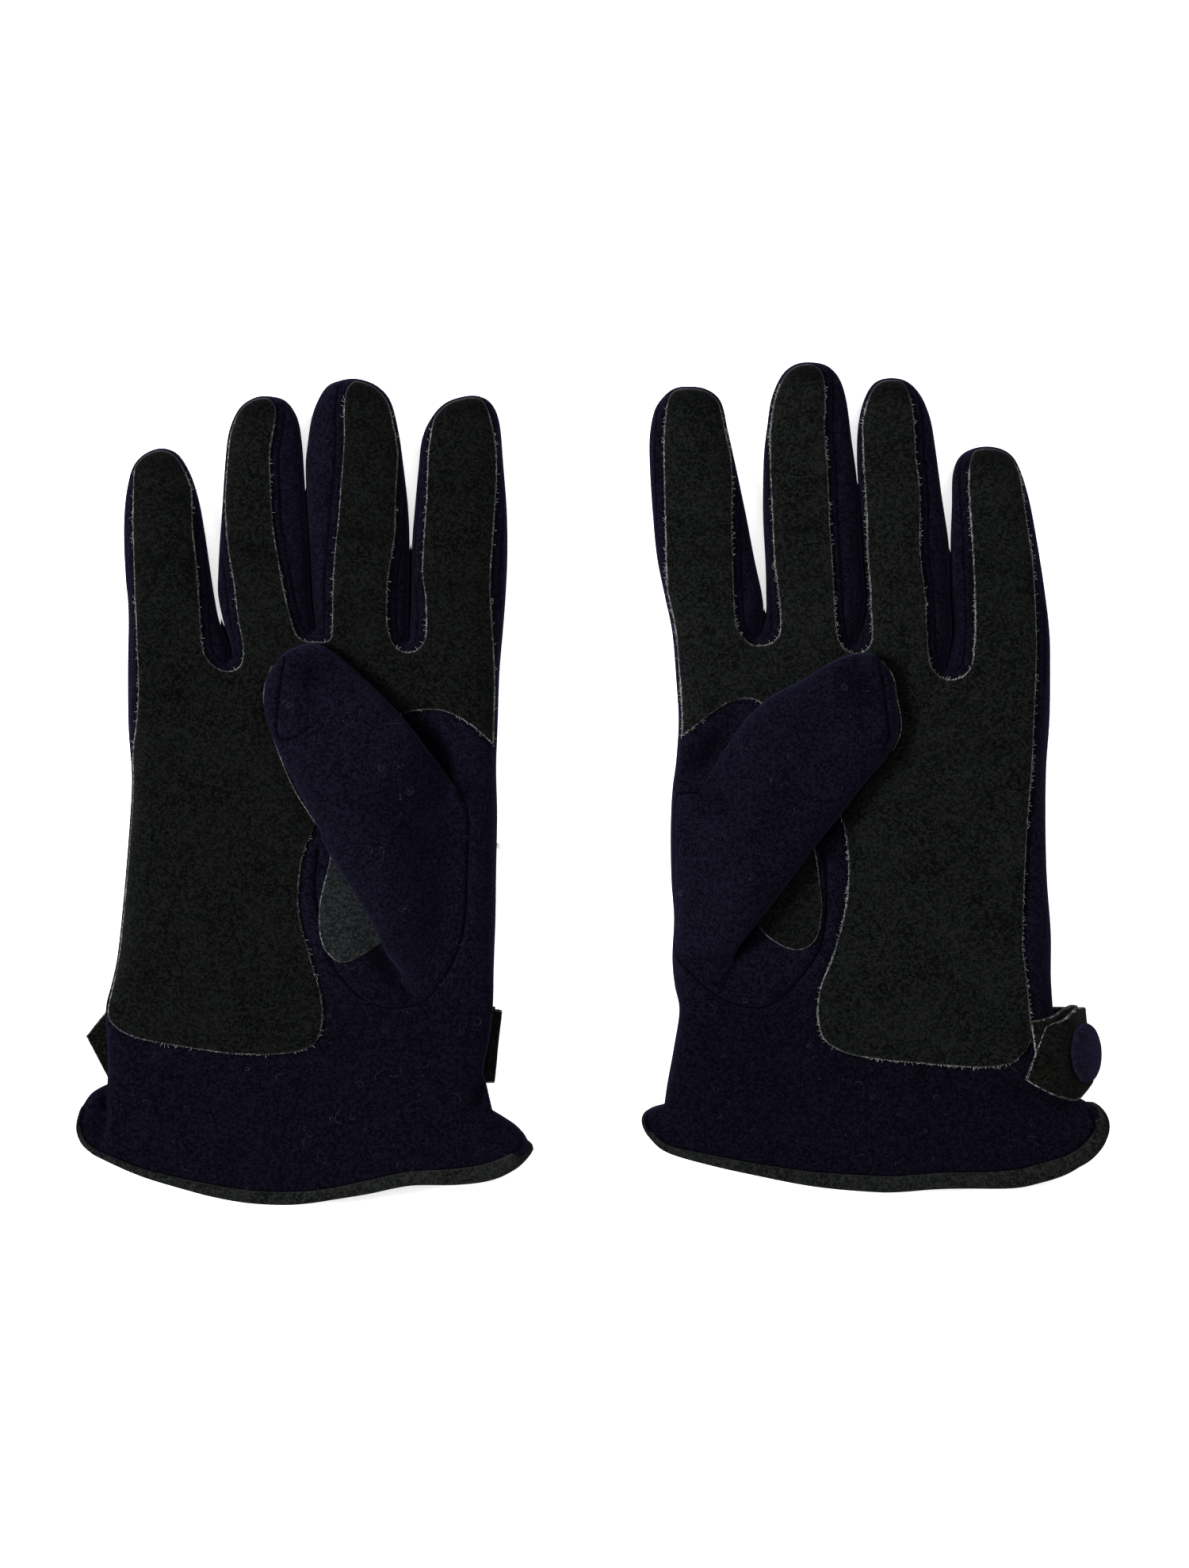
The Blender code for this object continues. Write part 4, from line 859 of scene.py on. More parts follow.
def mesh_object(name, points, faces, materials, weave=None, normals=None, picks=None,
                painted_shade_and_tone=None):
    """An object from points in millimetres. picks is each face's material, weave the texture's
    coordinates in millimetres along the cloth, and the last argument each point's painted shade,
    from 0 to 1, which darkens its color: shade painted into seams, folds and hollows, with the
    cuff's knit and the suede near the fingertips a little darker too."""
    mesh = bpy.data.meshes.new(name)
    mesh.from_pydata((points * MM).tolist(), [], faces.tolist())
    for material in materials:
        mesh.materials.append(material)
    if picks is not None:
        mesh.polygons.foreach_set("material_index", picks.astype(np.int32))
    coords = points if weave is None else weave
    layer = mesh.attributes.new("weave", "FLOAT_VECTOR", "POINT")
    layer.data.foreach_set("vector", np.ascontiguousarray(coords, np.float32).ravel())
    # Each point's painted shade, from 0 to 1, which the materials darken their color by; zero where
    # none is given.
    layer = mesh.attributes.new("painted_shade_and_tone", "FLOAT", "POINT")
    if painted_shade_and_tone is not None:
        layer.data.foreach_set("value", np.ascontiguousarray(painted_shade_and_tone, np.float32))
    mesh.shade_smooth()
    if normals is not None:
        mesh.normals_split_custom_set_from_vertices(normals.tolist())
    obj = bpy.data.objects.new(name, mesh)
    bpy.context.scene.collection.objects.link(obj)
    return obj


def settle(obj, slot, *nodes, body=None):
    """Puts the piece on the body that it rides on and hides the nodes that it stands for. slot is not
    used.
    """
    if body:
        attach(obj, body)
    if nodes:
        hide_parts(*nodes)


def vertex_normals(points, faces):
    a, b, c = (points[faces[:, k]] for k in range(3))
    cross = np.cross(b - a, c - a)
    normal = np.zeros_like(points)
    for k in range(3):
        np.add.at(normal, faces[:, k], cross)
    return normal / np.maximum(np.linalg.norm(normal, axis=1), TINY)[:, None]


def outward_volume(points, faces):
    """The faces of a closed form, turned over if they face inward."""
    a, b, c = (points[faces[:, k]] for k in range(3))
    return faces if (np.cross(a, b) * c).sum() > 0 else faces[:, ::-1]


def part_of(points, faces, rows=(), keep=slice(None)):
    """The kept faces with only the points that they use, and those points' rows of values."""
    faces = faces[keep]
    used = np.unique(faces)
    index = np.zeros(len(points), int)
    index[used] = np.arange(len(used))
    return (points[used], index[faces], *(row[used] for row in rows))


def joined(pieces):
    """One (points, faces) from many."""
    points, faces, base = [], [], 0
    for own, own_faces in pieces:
        points.append(own)
        faces.append(own_faces + base)
        base += len(own)
    return np.vstack(points), np.vstack(faces)


def two_sided(xy, faces, down, up, sealed):
    """One closed surface from an upper and a lower sheet that share the sealed points."""
    count = len(xy)
    lower = np.arange(count) + count
    lower[sealed] = np.flatnonzero(sealed)
    points = np.vstack([np.column_stack([xy, up]), np.column_stack([xy, down])])
    points[:count][sealed, 2] = ((up + down) / 2)[sealed]
    return part_of(points, np.vstack([faces, lower[faces][:, ::-1]]))


def ring_faces(rings, sides):
    """Triangles between neighbouring rings of a tube, whose points follow ring by ring."""
    faces = []
    for i in range(rings - 1):
        for k in range(sides):
            a, b = i * sides + k, i * sides + (k + 1) % sides
            faces += [(a, b, a + sides), (b, b + sides, a + sides)]
    return faces


def tube(path, widths, thickness, sides=18):
    """A flattened tube along a path, closed at both ends, (points, faces)."""
    flat = np.gradient(path, axis=0)
    flat[:, 2] = 0
    flat /= np.maximum(np.linalg.norm(flat, axis=1), 1e-9)[:, None]
    across = np.column_stack([-flat[:, 1], flat[:, 0], np.zeros(len(flat))])
    up = np.array([0, 0, 1.0])
    angle = 2 * np.pi * np.arange(sides) / sides
    c, s = (np.sign(v) * np.abs(v) ** TUBE_POWER for v in (np.cos(angle), np.sin(angle)))
    ends = np.minimum(np.arange(len(path)), np.arange(len(path))[::-1]) / 2.0
    size = np.sqrt(np.clip(ends, 0.02, 1))
    half = widths / 2 * size
    tall = thickness / 2 * size
    points = (path[:, None] + across[:, None] * (half[:, None] * c)[:, :, None]
              + up * (tall[:, None] * s)[:, :, None]).reshape(-1, 3)
    faces = ring_faces(len(path), sides)
    last = (len(path) - 1) * sides
    for k in range(1, sides - 1):
        faces += [(0, k + 1, k), (last, last + k, last + k + 1)]
    return points, np.array(faces)


def weave_along(points, axis):
    """Coordinates turned so that the knit's columns run along the axis."""
    a, b = (np.array(p) for p in axis)
    run = (b - a) / np.linalg.norm(b - a)
    side = np.array([run[1], -run[0]])
    flat = points[:, :2] - a
    return np.column_stack([flat @ side, flat @ run, points[:, 2]])


# Placement baked into the meshes


def bend_with(obj):
    """Bakes the finger mesh's placement into its points."""
    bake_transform(obj)


def swing_with(obj):
    """Bakes the thumb mesh's placement into its points."""
    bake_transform(obj)


# Knit


def barriers_of(glove, polygon):
    """The split line and the short lines from it up to each crotch, as rows of points."""
    split_y = glove.split_y
    ends = [np.array(slit[0][:2]) for slit in glove.slits]
    xs = np.concatenate([np.arange(polygon[:, 0].min() - 5, polygon[:, 0].max() + 5, EDGE_STEP),
                         [end[0] for end in ends]])
    crossings = []
    for (x0, y0), (x1, y1) in zip(polygon, np.roll(polygon, -1, axis=0)):
        if (y0 - split_y) * (y1 - split_y) < 0:
            t = (split_y - y0) / (y1 - y0)
            crossings.append(x0 + (x1 - x0) * t)
    low, high = min(crossings), max(crossings)
    xs = np.sort(xs)
    xs = np.array([low, *xs[(xs > low + 0.3) & (xs < high - 0.3)], high])
    row = np.column_stack([xs, np.full(len(xs), split_y)])
    ups = []
    for x, y in ends:
        count = max(2, int((y - split_y) / EDGE_STEP) + 1)
        ups.append(np.column_stack([np.full(count, x), np.linspace(split_y, y, count)]))
    return row, ups


def slit_web(glove, i):
    """Where two fingers press together, their sides meet below the edges seen from above."""
    path = evenly(np.array(glove.slits[i]), EDGE_STEP)
    along = np.arange(len(path)) * EDGE_STEP
    path = path[along < glove.plan.touching[i]]
    middle = glove.levels(path)[1] - 1.5
    fade = 2.4 * np.clip((glove.plan.touching[i] - along[: len(path)]) / 6, 0.2, 1)
    points, faces = tube(np.column_stack([path, middle]), fade, 3.0, sides=10)
    return points, outward_volume(points, faces)


def skin_seams(glove):
    """Rows of points along everything that is sunk into the skin or sewn to it."""
    across = inward(glove.gusset_seam, glove.outline)
    rows = [glove.gusset_seam + across * reach for reach in (0, 0.4, -0.4, 0.9, -0.9)]
    normal = inward(glove.patch, glove.patch)
    rows += [glove.patch - normal * reach for reach in (0.6, 2.05, FOURCHETTE_SEAM, 2.95)]
    out = -inward(glove.hem, glove.outline)
    half = glove.width_along(glove.hem_line.along / glove.hem_line.along[-1])[:, None] / 2
    return rows + [glove.hem - out * (half + reach) for reach in (-0.4, 0.1, 0.7, 1.4)]


def make_skin(glove, materials):
    """The knit of the whole hand, made in one and then parted into the hand and the fingers."""
    row, ups = barriers_of(glove, glove.outline)
    rings = round_rings(FINGER_ROUND)
    xy, faces = triangulated(glove.outline, rings, skin_seams(glove), (row, *ups))
    sealed = glove.rim_line.distance(xy) < 1e-3
    points, faces = two_sided(xy, faces, *glove.heights(xy), sealed)
    # Painted shade goes on the upper face of the skin only.
    above = points[:, 2] > glove.levels(points[:, :2])[1] - 0.5
    dark = np.where(above, glove.skin_painted_shade_and_tone(points[:, :2]), 0.0)
    rows = (vertex_normals(points, faces), dark)
    index = glove.finger_at(points[faces].mean(axis=1)[:, :2])
    for i, finger in enumerate(glove.finger_names()):
        finger_skin(glove, i, finger, part_of(points, faces, rows, index == i), materials)
    hand_skin(glove, part_of(points, faces, rows, index == -1), materials)


def finger_skin(glove, i, finger, skin, materials):
    points, faces, normals, dark = skin
    if i < len(glove.slits):
        web, web_faces = slit_web(glove, i)
        faces = np.vstack([faces, web_faces + len(points)])
        points = np.vstack([points, web])
        normals = np.vstack([normals, vertex_normals(web, web_faces)])
        # The web between touching fingers is painted almost wholly in shade.
        dark = np.concatenate([dark, np.full(len(web), 0.9)])
    obj = mesh_object(f"{glove.side}_{finger}_knit", points, faces, [materials["knit"]],
                      normals=normals, painted_shade_and_tone=dark)
    nodes = [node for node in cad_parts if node.startswith(f"{glove.side}_{finger}_")]
    settle(obj, "knit", *(node for node in nodes if "suede" not in node))
    bend_with(obj)


def hand_skin(glove, skin, materials):
    """The hand's knit, with the inner face of its cuff."""
    points, faces, normals, dark = skin
    cuff = points[faces][:, :, 1].max(axis=1) < glove.hem[:, 1].min() + LINING_DEPTH
    inner, inner_faces, out = part_of(points, faces, (normals,), cuff)
    obj = mesh_object(
        f"{glove.side}_hand_knit",
        np.vstack([points, inner - out * FABRIC]),
        np.vstack([faces, inner_faces[:, ::-1] + len(points)]),
        [materials["knit"]],
        normals=np.vstack([normals, -out]),
        painted_shade_and_tone=np.concatenate([dark, np.zeros(len(inner))]),
    )
    nodes = (f"{glove.side}_palm_panel", f"{glove.side}_back_panel")
    settle(obj, "knit", *nodes, body=f"{glove.side}_hand")


def make_thumb(glove, materials):
    across = inward(glove.tip_seam.points, glove.thumb)
    extra = [glove.tip_seam.points + across * reach for reach in (0, 0.5, -0.5, 1.0, -1.0)]
    xy, faces = triangulated(glove.thumb, round_rings(THUMB_ROUND), extra)
    down, up = glove.thumb_heights(xy)
    free = smoothstep(glove.thumb_sewn.distance(xy) / 3)
    down = np.where(free > 0.2, np.maximum(down, glove.worn(xy) + 0.15), down)
    sealed = edge_of(glove.thumb).distance(xy) < 1e-3
    points, both = two_sided(xy, faces, down, np.maximum(up, down), sealed)
    obj = mesh_object(f"{glove.side}_thumb_knit", points, both, [materials["knit"]],
                      weave=weave_along(points, glove.thumb_axis),
                      painted_shade_and_tone=glove.thumb_painted_shade(points[:, :2]))
    settle(obj, "knit", f"{glove.side}_thumb", f"{glove.side}_thumb_gusset")
    swing_with(obj)


# Suede on the knit


def overlay(polygon, base, thickness=SUEDE, barriers=()):
    """(points, faces, which faces are the cut edge) of a layer of suede over a height."""
    rings = (0.18, RAW_EDGE, RAW_EDGE + 0.5, 1.6)
    xy, faces = triangulated(polygon, rings, barriers=barriers)
    line = edge_of(polygon)
    distance, along = line.nearest(xy)
    under = base(xy) + 0.02
    rise = np.clip(distance / RAW_EDGE, 0, 1) ** 0.7
    frayed = 1 + 0.3 * np.array([noise.noise((a / 1.3, 0, 2)) for a in along]) * (distance < 1.2)
    upper = under + thickness * rise * frayed
    sealed = distance < 1e-3
    points, both = two_sided(xy, faces, under, np.where(sealed, under, upper), sealed)
    middle = points[both].mean(axis=1)
    return points, both, line.distance(middle[:, :2]) < RAW_EDGE * 0.98


def tuft(start, run, length, radius, dice, curl=0.5):
    """One loose fibre: a thin three-sided tube that curls as it goes, (points, faces)."""
    count = 3 + int(length / 0.6)
    heading = math.atan2(run[1], run[0])
    bend = dice.uniform(-curl, curl)
    middle = np.array(start, float)
    points = []
    for i in range(count + 1):
        side = np.array([-math.sin(heading), math.cos(heading), 0])
        size = radius * (1 - 0.5 * i / count)
        for a in (0, 2 * math.pi / 3, 2 * math.pi * 2 / 3):
            points.append(middle + size * (math.cos(a) * side + np.array([0, 0, math.sin(a)])))
        ahead = np.array([math.cos(heading), math.sin(heading), run[2]])
        middle = middle + ahead * length / count
        heading += bend + dice.uniform(-curl, curl) * 0.5
    ends = [(2, 1, 0), (3 * count, 3 * count + 1, 3 * count + 2)]
    return np.array(points), np.array(ring_faces(count + 1, 3) + ends)


def edge_fibres(glove, dice):
    """Fibres that stand off the overlay's cut edge, each as (points, faces)."""
    edge = glove.patch
    out = -inward(edge, edge)
    top = glove.worn(edge)
    fibres = []
    for i in range(len(edge)):
        patchy = 0.5 + 0.9 * noise.noise((edge[i, 0] / 14, edge[i, 1] / 14, 9.0))
        if glove.tips(edge[i : i + 1])[0] > 0.5:
            continue
        for _ in range(6):
            if dice.random() > 0.75 * glove.plan.frayed * patchy:
                continue
            turn = dice.uniform(-1.3, 1.3)
            x, y = out[i]
            run = np.array([x * math.cos(turn) - y * math.sin(turn),
                            x * math.sin(turn) + y * math.cos(turn), dice.uniform(-0.1, 0.5)])
            run /= np.linalg.norm(run)
            start = np.array([*edge[i] - out[i] * 0.2, top[i] + SUEDE * 0.6])
            length = dice.choice((0.3, 0.4, 0.5, 0.7, 1.2))
            fibres.append(tuft(start, run, length, FIBRE_RADIUS * 1.5, dice, 0.4))
    return fibres


def closed_off(points, faces):
    """The faces with walls where the piece was parted from its neighbour, and how many walls."""
    rounds = (zip(face, face[1:] + face[:1]) for face in faces.tolist())
    edges = dict.fromkeys(edge for around in rounds for edge in around)
    loose = [(a, b) for a, b in edges if (b, a) not in edges]
    place = {tuple(np.round(points[[a, b], :2].ravel(), 3)): (a, b) for a, b in loose}
    walls = []
    for a, b in loose:
        under = place.get(tuple(np.round(points[[b, a], :2].ravel(), 3)))
        if under and points[[a, b], 2].sum() > points[list(under), 2].sum():
            both = ((b, a, under[1]), (b, under[1], under[0]))
            walls += [wall for wall in both if len(set(wall)) == 3]
    return np.vstack([faces, np.array(walls, int).reshape(-1, 3)]), len(walls)


def lay_sheet(along=(0.0, 1.0)):
    """Makes the direction along a flat piece of suede a unit vector, and does nothing with it."""
    along = np.array(along) / np.linalg.norm(along)


def make_overlay(glove, materials):
    """The palm patch and the finger strips, cut from one layer of suede."""
    row, ups = barriers_of(glove, glove.patch)
    barriers = [line[inside(line, glove.patch)] for line in (row, *ups)]
    barriers = [line for line in barriers if len(line) > 1]
    points, faces, cut = overlay(glove.patch, glove.top, barriers=barriers)
    rows = (vertex_normals(points, faces), glove.suede_painted_shade_and_tone(points[:, :2]))
    index = glove.finger_at(points[faces].mean(axis=1)[:, :2])
    fibres = edge_fibres(glove, random.Random(glove.side))
    roots = glove.finger_at(np.array([points[0, :2] for points, _ in fibres]))
    for i, finger in enumerate((*glove.finger_names(), "palm")):
        own = i if finger != "palm" else -1
        suede = part_of(points, faces, rows, index == own)
        loose = joined([fibre for fibre, root in zip(fibres, roots) if root == own])
        suede_piece(glove, finger, suede, cut[index == own], loose, materials)


def suede_piece(glove, finger, suede, cut, fibres, materials):
    """One finger's strip or the palm's patch, with the fibres along its cut edge."""
    points, faces, normals, dark = suede
    loose, loose_faces = fibres
    faces, walls = closed_off(points, faces)
    obj = mesh_object(
        f"{glove.side}_{finger}_suede",
        np.vstack([points, loose]),
        np.vstack([faces, loose_faces + len(points)]),
        [materials[f"{glove.side}_suede"], materials["raw_edge"], materials["fibre"]],
        normals=np.vstack([normals, vertex_normals(loose, loose_faces)]),
        picks=np.concatenate([cut, np.zeros(walls), np.full(len(loose_faces), 2)]),
        painted_shade_and_tone=np.concatenate([dark, np.zeros(len(loose))]),
    )
    if finger == "palm":
        settle(obj, "suede", f"{glove.side}_palm_patch", body=f"{glove.side}_hand")
        lay_sheet()
    else:
        settle(obj, "suede", f"{glove.side}_{finger}_suede_strip")
        lay_sheet()
        bend_with(obj)


def make_gusset_patch(glove, materials):
    points, faces, cut = overlay(glove.thumb_patch, glove.worn)
    suede = materials["pale_suede" if glove.plan.pale_gusset else "right_suede"]
    look = [suede, materials["raw_edge"]]
    obj = mesh_object(f"{glove.side}_gusset_suede", points, faces, look, picks=cut)
    settle(obj, "suede", f"{glove.side}_gusset_patch", body=f"{glove.side}_hand")
    lay_sheet()


def make_thumb_suede(glove, materials):
    """The suede on the thumb's other side: the band of it that shows past the thumb's edge."""
    outer = glove.thumb_suede
    inner = outer + inward(outer, glove.thumb, 4.0).mean(axis=0) * THUMB_BAND
    polygon = np.vstack([outer, evenly(inner[::-1], EDGE_STEP)])
    points, faces, cut = overlay(polygon, lambda xy: glove.worn(xy) + 0.3, 1.1)
    look = [materials[f"{glove.side}_suede"], materials["raw_edge"]]
    obj = mesh_object(f"{glove.side}_thumb_suede", points, faces, look, picks=cut)
    settle(obj, "suede", f"{glove.side}_thumb_patch")
    lay_sheet(outer[-1] - outer[0])
    swing_with(obj)


def make_binding(glove, materials):
    """The suede folded over the hem: one run on the front layer and one on the back."""
    path = glove.hem
    share = np.linspace(0, 1, len(path))
    widths = glove.width_along(share)
    out = -inward(path, glove.outline)
    down, up = glove.heights(path - out * 0.3)
    edge = smoothstep(np.minimum(share, 1 - share) / 0.05)
    middle = (up + down) / 2
    thick = np.minimum(BINDING_THICKNESS, 1.2 + widths * 0.5)
    wave = 0.35 * rough(path, 16, 4.0)
    front = np.column_stack([path, middle + 0.6 + (up - middle - 0.9) * edge + wave])
    fade = smoothstep((share - 0.80) / 0.10) * smoothstep((1 - share) / 0.06)
    peek = (glove.plan.hem_peek * fade)[:, None]
    low = np.maximum(middle - 0.6 + (down + 0.9 - middle) * edge, thick / 2 + 0.1)
    back = np.column_stack([path + out * (peek - 0.3 * (1 - peek)), low])
    tubes = [tube(front, widths - peek[:, 0] * 0.6, thick), tube(back, widths, thick)]
    points, faces = joined([(p, outward_volume(p, f)) for p, f in tubes])
    obj = mesh_object(f"{glove.side}_binding", points, faces, [materials["binding"]])
    settle(obj, "suede", f"{glove.side}_hem_binding", body=f"{glove.side}_hand")


# Strap


def ribbon_grid(tops, lows):
    """Rows of points across a ribbon between two curves, and the normal at each."""
    top, low = (catmull(extended(np.array(curve, float))) for curve in (tops, lows))
    border = 0.5 / np.linalg.norm(top - low, axis=1).mean()
    inner = np.linspace(border, 1 - border, RIBBON_ACROSS - 2)
    t = np.concatenate([[0], inner, [1]])[None, :, None]
    grid = top[:, None] * (1 - t) + low[:, None] * t
    normal = np.cross(np.gradient(grid, axis=0), np.gradient(grid, axis=1))
    normal /= np.maximum(np.linalg.norm(normal, axis=2), 1e-9)[:, :, None]
    ripple = np.array([noise.noise(tuple(p / 9)) for p in grid.reshape(-1, 3)])
    return grid + normal * 0.25 * ripple.reshape(len(top), -1)[:, :, None], normal


def plate_faces(rows, across):
    """(faces, which of them are the cut edge) of a two-sided plate over a grid of points."""
    faces, picks = [], []
    total = rows * across
    for i in range(rows - 1):
        for k in range(across - 1):
            a, b, c, d = (i * across + k + step for step in (0, across, across + 1, 1))
            faces += [(a, b, c), (a, c, d)]
            faces += [(total + c, total + b, total + a), (total + d, total + c, total + a)]
            picks += [int(i in (0, 1, rows - 3, rows - 2) or k in (0, across - 2))] * 4
    grid = np.arange(total).reshape(rows, across)
    ring = [*grid[0], *grid[1:, -1], *grid[-1, -2::-1], *grid[-2:0:-1, 0]]
    for a, b in zip(ring, ring[1:] + ring[:1]):
        faces += [(a, b, total + b), (a, total + b, total + a)]
        picks += [1, 1]
    return np.array(faces), np.array(picks)


def make_strap(glove, materials, tops, lows, name, body, node):
    """A strip of suede between two curves, one along each of its edges."""
    grid, normal = ribbon_grid(tops, lows)
    rows, across = grid.shape[:2]
    half = np.full((rows, across, 1), PLY / 2 * 0.72)
    half[1:-1, 1:-1] = PLY / 2
    points = np.vstack([(grid + side * normal * half).reshape(-1, 3) for side in (1, -1)])
    faces, picks = plate_faces(rows, across)
    obj = mesh_object(f"{glove.side}_{name}", points, outward_volume(points, faces),
                      [materials["strap"], materials["raw_edge"]], picks=picks)
    settle(obj, "suede", f"{glove.side}_{node}", body=body)
    tops, lows = np.array(tops), np.array(lows)


def button_profile():
    """(radius, height) from the middle of the dome to the button's back."""
    rows = []
    for i in range(1, 15):
        a = math.pi / 2 * i / 14
        rows.append((BUTTON_RADIUS * math.sin(a) ** 0.95,
                     BUTTON_RIM + (BUTTON_HEIGHT - BUTTON_RIM) * math.cos(a) ** 0.8))
    return rows + [(BUTTON_RADIUS * share, height)
                   for share, height in ((0.995, 0.6), (0.96, 0.25), (0.88, 0.0))]


def button_mesh(centre, normal):
    """A domed button under cloth, pulled in at its back, (points, faces)."""
    profile = button_profile()
    normal = Vector(normal).normalized()
    side = np.array(normal.orthogonal().normalized())
    normal = np.array(normal)
    up = np.cross(normal, side)
    around = 72
    points = []
    for radius, height in profile:
        for k in range(around):
            a = 2 * math.pi * k / around
            dent = 0.05 * math.sin(9 * a) * (radius / BUTTON_RADIUS) ** 6
            points.append(centre + (radius - dent) * (math.cos(a) * side + math.sin(a) * up)
                          + normal * height)
    faces = []
    for i in range(len(profile) - 1):
        for k in range(around):
            a, b = i * around + k, i * around + (k + 1) % around
            faces += [(a, a + around, b), (b, a + around, b + around)]
    last = (len(profile) - 1) * around
    points += [centre + normal * BUTTON_HEIGHT, centre]
    for k in range(around):
        b = (k + 1) % around
        faces += [(len(points) - 2, k, b), (len(points) - 1, last + b, last + k)]
    return np.array(points), outward_volume(np.array(points), np.array(faces))


def make_button(glove, materials, centre, normal):
    points, faces = button_mesh(np.array(centre, float), normal)
    weave = points[:, [1, 2, 0]] if glove.side == "left" else None
    look = [materials["button"]]
    obj = mesh_object(f"{glove.side}_covered_button", points, faces, look, weave=weave)
    settle(obj, "button_cloth", f"{glove.side}_button", body=f"{glove.side}_strap_flap")


def make_right_strap(glove, materials):
    """Its ends are buttoned behind the wrist: a corner shows on one side, a fold on the other."""
    start, end = glove.strap_low[0], glove.strap_high[0]
    low, top = glove.strap_low[1], glove.strap_high[1]
    under, over = glove.strap_low[2] + PLY / 2, glove.strap_high[2] - PLY / 2
    tops = [(start, top - 0.5, over), (end - 60, top, over), (end - 8, top + 0.6, over),
            (end - 2.4, top - 0.3, over), (end - 0.5, top - 0.8, (under + over) / 2),
            (end - 2.0, top - 0.5, under), (end - 12, top, under), (end - 60, top, under),
            (RIGHT_HINGE, top, under)]
    lows = [(x - 2.3 * (x > end - 20), low + 0.2, z) for x, _, z in tops]
    make_strap(glove, materials, tops, lows, "wrist_strap", "right_hand", "strap")
    corner = box_mm("right_strap_flap")[0]
    outline = [(RIGHT_HINGE - 0.4, top, 1), (corner[0] + 7.0, top, 1), (corner[0], top - 8.7, 1),
               (corner[0] + 7.5, low, 1), (RIGHT_HINGE - 0.4, low, 1)]
    polygon = smoothed(outline, EDGE_STEP, closed=True)[:-1]
    points, faces, cut = overlay(polygon, lambda xy: np.full(len(xy), corner[2]), PLY)
    look = [materials["strap"], materials["raw_edge"]]
    obj = mesh_object("right_strap_end", points, faces, look, picks=cut)
    settle(obj, "suede", "right_strap_flap", body="right_strap_flap")
    lay_sheet()
    low_corner, high_corner = box_mm("right_button")
    centre = (low_corner + high_corner) / 2
    make_button(glove, materials, (centre[0], centre[1], high_corner[2]), (0, 0, -1))


def make_left_strap(glove, materials):
    """It comes round the little finger's side of the wrist and buttons on the palm's side."""
    side = box_mm("left_strap_flap")[1][0]
    low, top = glove.strap_low[1], glove.strap_high[1]
    far = glove.strap_low[0]
    back = [(far + 43, 2.1), (far + 1.8, 2.1), (far + 0.5, 1.35), (far + 1.8, 0.55),
            (far + 43, 0.55), (side - 15.0, 0.55), (side - 7.5, 0.9), (side - 3.2, 2.6)]
    tops = [(side + x, top + y, z) for x, y, z in WRIST_STRAP_TOP] + [(x, top, z) for x, z in back]
    lows = [(side + x, low + y, z) for x, y, z in WRIST_STRAP_LOW] + [(x, low, z) for x, z in back]
    make_strap(glove, materials, tops, lows, "wrist_strap", "left_hand", "strap")
    tops = [(side + x, top + y, z) for x, y, z in STRAP_END_TOP]
    lows = [(side + x, low + y, z) for x, y, z in STRAP_END_LOW]
    make_strap(glove, materials, tops, lows, "strap_end", "left_strap_flap", "strap_flap")
    tilt = math.radians(BUTTON_TILT)
    normal = np.array([math.sin(tilt), 0.06, math.cos(tilt)])
    low_corner, high_corner = box_mm("left_button")
    make_button(glove, materials, (low_corner + high_corner) / 2 - normal * 1.4, normal)


# Lint


def stray_fibres(dice, count, corners, welcome, surface, rise, lengths):
    """Curling fibres on the surface, at random places between the corners that are welcome."""
    low, high = corners
    fibres = []
    while len(fibres) < count:
        spot = np.array([[dice.uniform(low[0], high[0]), dice.uniform(low[1], high[1])]])
        if not welcome(spot):
            continue
        turn = dice.uniform(0, 2 * math.pi)
        run = np.array([math.cos(turn), math.sin(turn), dice.uniform(-0.02, rise)])
        start = np.array([*spot[0], surface(spot)[0] + 0.12])
        length = dice.choice(lengths)
        radius = FIBRE_RADIUS * (1.6 if length < 0.8 else 0.55)
        fibres.append(tuft(start, run, length, radius, dice, 0.9))
    return fibres


def rim_tufts(glove, dice):
    """Small bunches of fibres that stand off the rim."""
    fibres = []
    for x, y in glove.place(glove.plan.tufts):
        start = np.array([x, y, glove.levels(np.array([[x, y]]))[1][0]])
        for _ in range(14):
            turn = dice.uniform(-0.9, 0.9)
            run = (math.cos(turn), math.sin(turn), 0.1)
            length = dice.uniform(1.0, 3.2)
            fibres.append(tuft(start, run, length, FIBRE_RADIUS * 2, dice, 0.5))
    return fibres


def make_lint(glove, materials):
    """Stray fibres on the cuff and the thumb."""
    dice = random.Random(f"{glove.side} lint")
    low, high = glove.outline.min(0), glove.outline.max(0)
    high = (high[0], glove.hem[:, 1].max() + 62)

    def on_cuff(spot):
        bare = inside(spot, glove.outline)[0] and not inside(spot, glove.patch)[0]
        return (bare and glove.rim_line.distance(spot)[0] >= 5
                and not inside(spot, glove.thumb)[0])

    def on_thumb(spot):
        return inside(spot, glove.thumb)[0] and glove.thumb_free.distance(spot)[0] >= 4

    fibres = stray_fibres(dice, glove.plan.lint, (low, high), on_cuff, glove.top, 0.06,
                          (0.3, 0.4, 2.0, 3.5, 6.0))
    points, faces = joined(fibres + rim_tufts(glove, dice))
    obj = mesh_object(f"{glove.side}_cuff_lint", points, faces, [materials["lint"]])
    settle(obj, "knit", body=f"{glove.side}_hand")
    corners = glove.thumb.min(0), glove.thumb.max(0)
    fibres = stray_fibres(dice, glove.plan.lint // 2, corners, on_thumb,
                          lambda spot: glove.thumb_heights(spot)[1], 0.05,
                          (0.3, 0.4, 3.0, 5.0, 9.0))
    points, faces = joined(fibres)
    obj = mesh_object(f"{glove.side}_thumb_lint", points, faces, [materials["lint"]])
    settle(obj, "knit")
    swing_with(obj)


# Materials


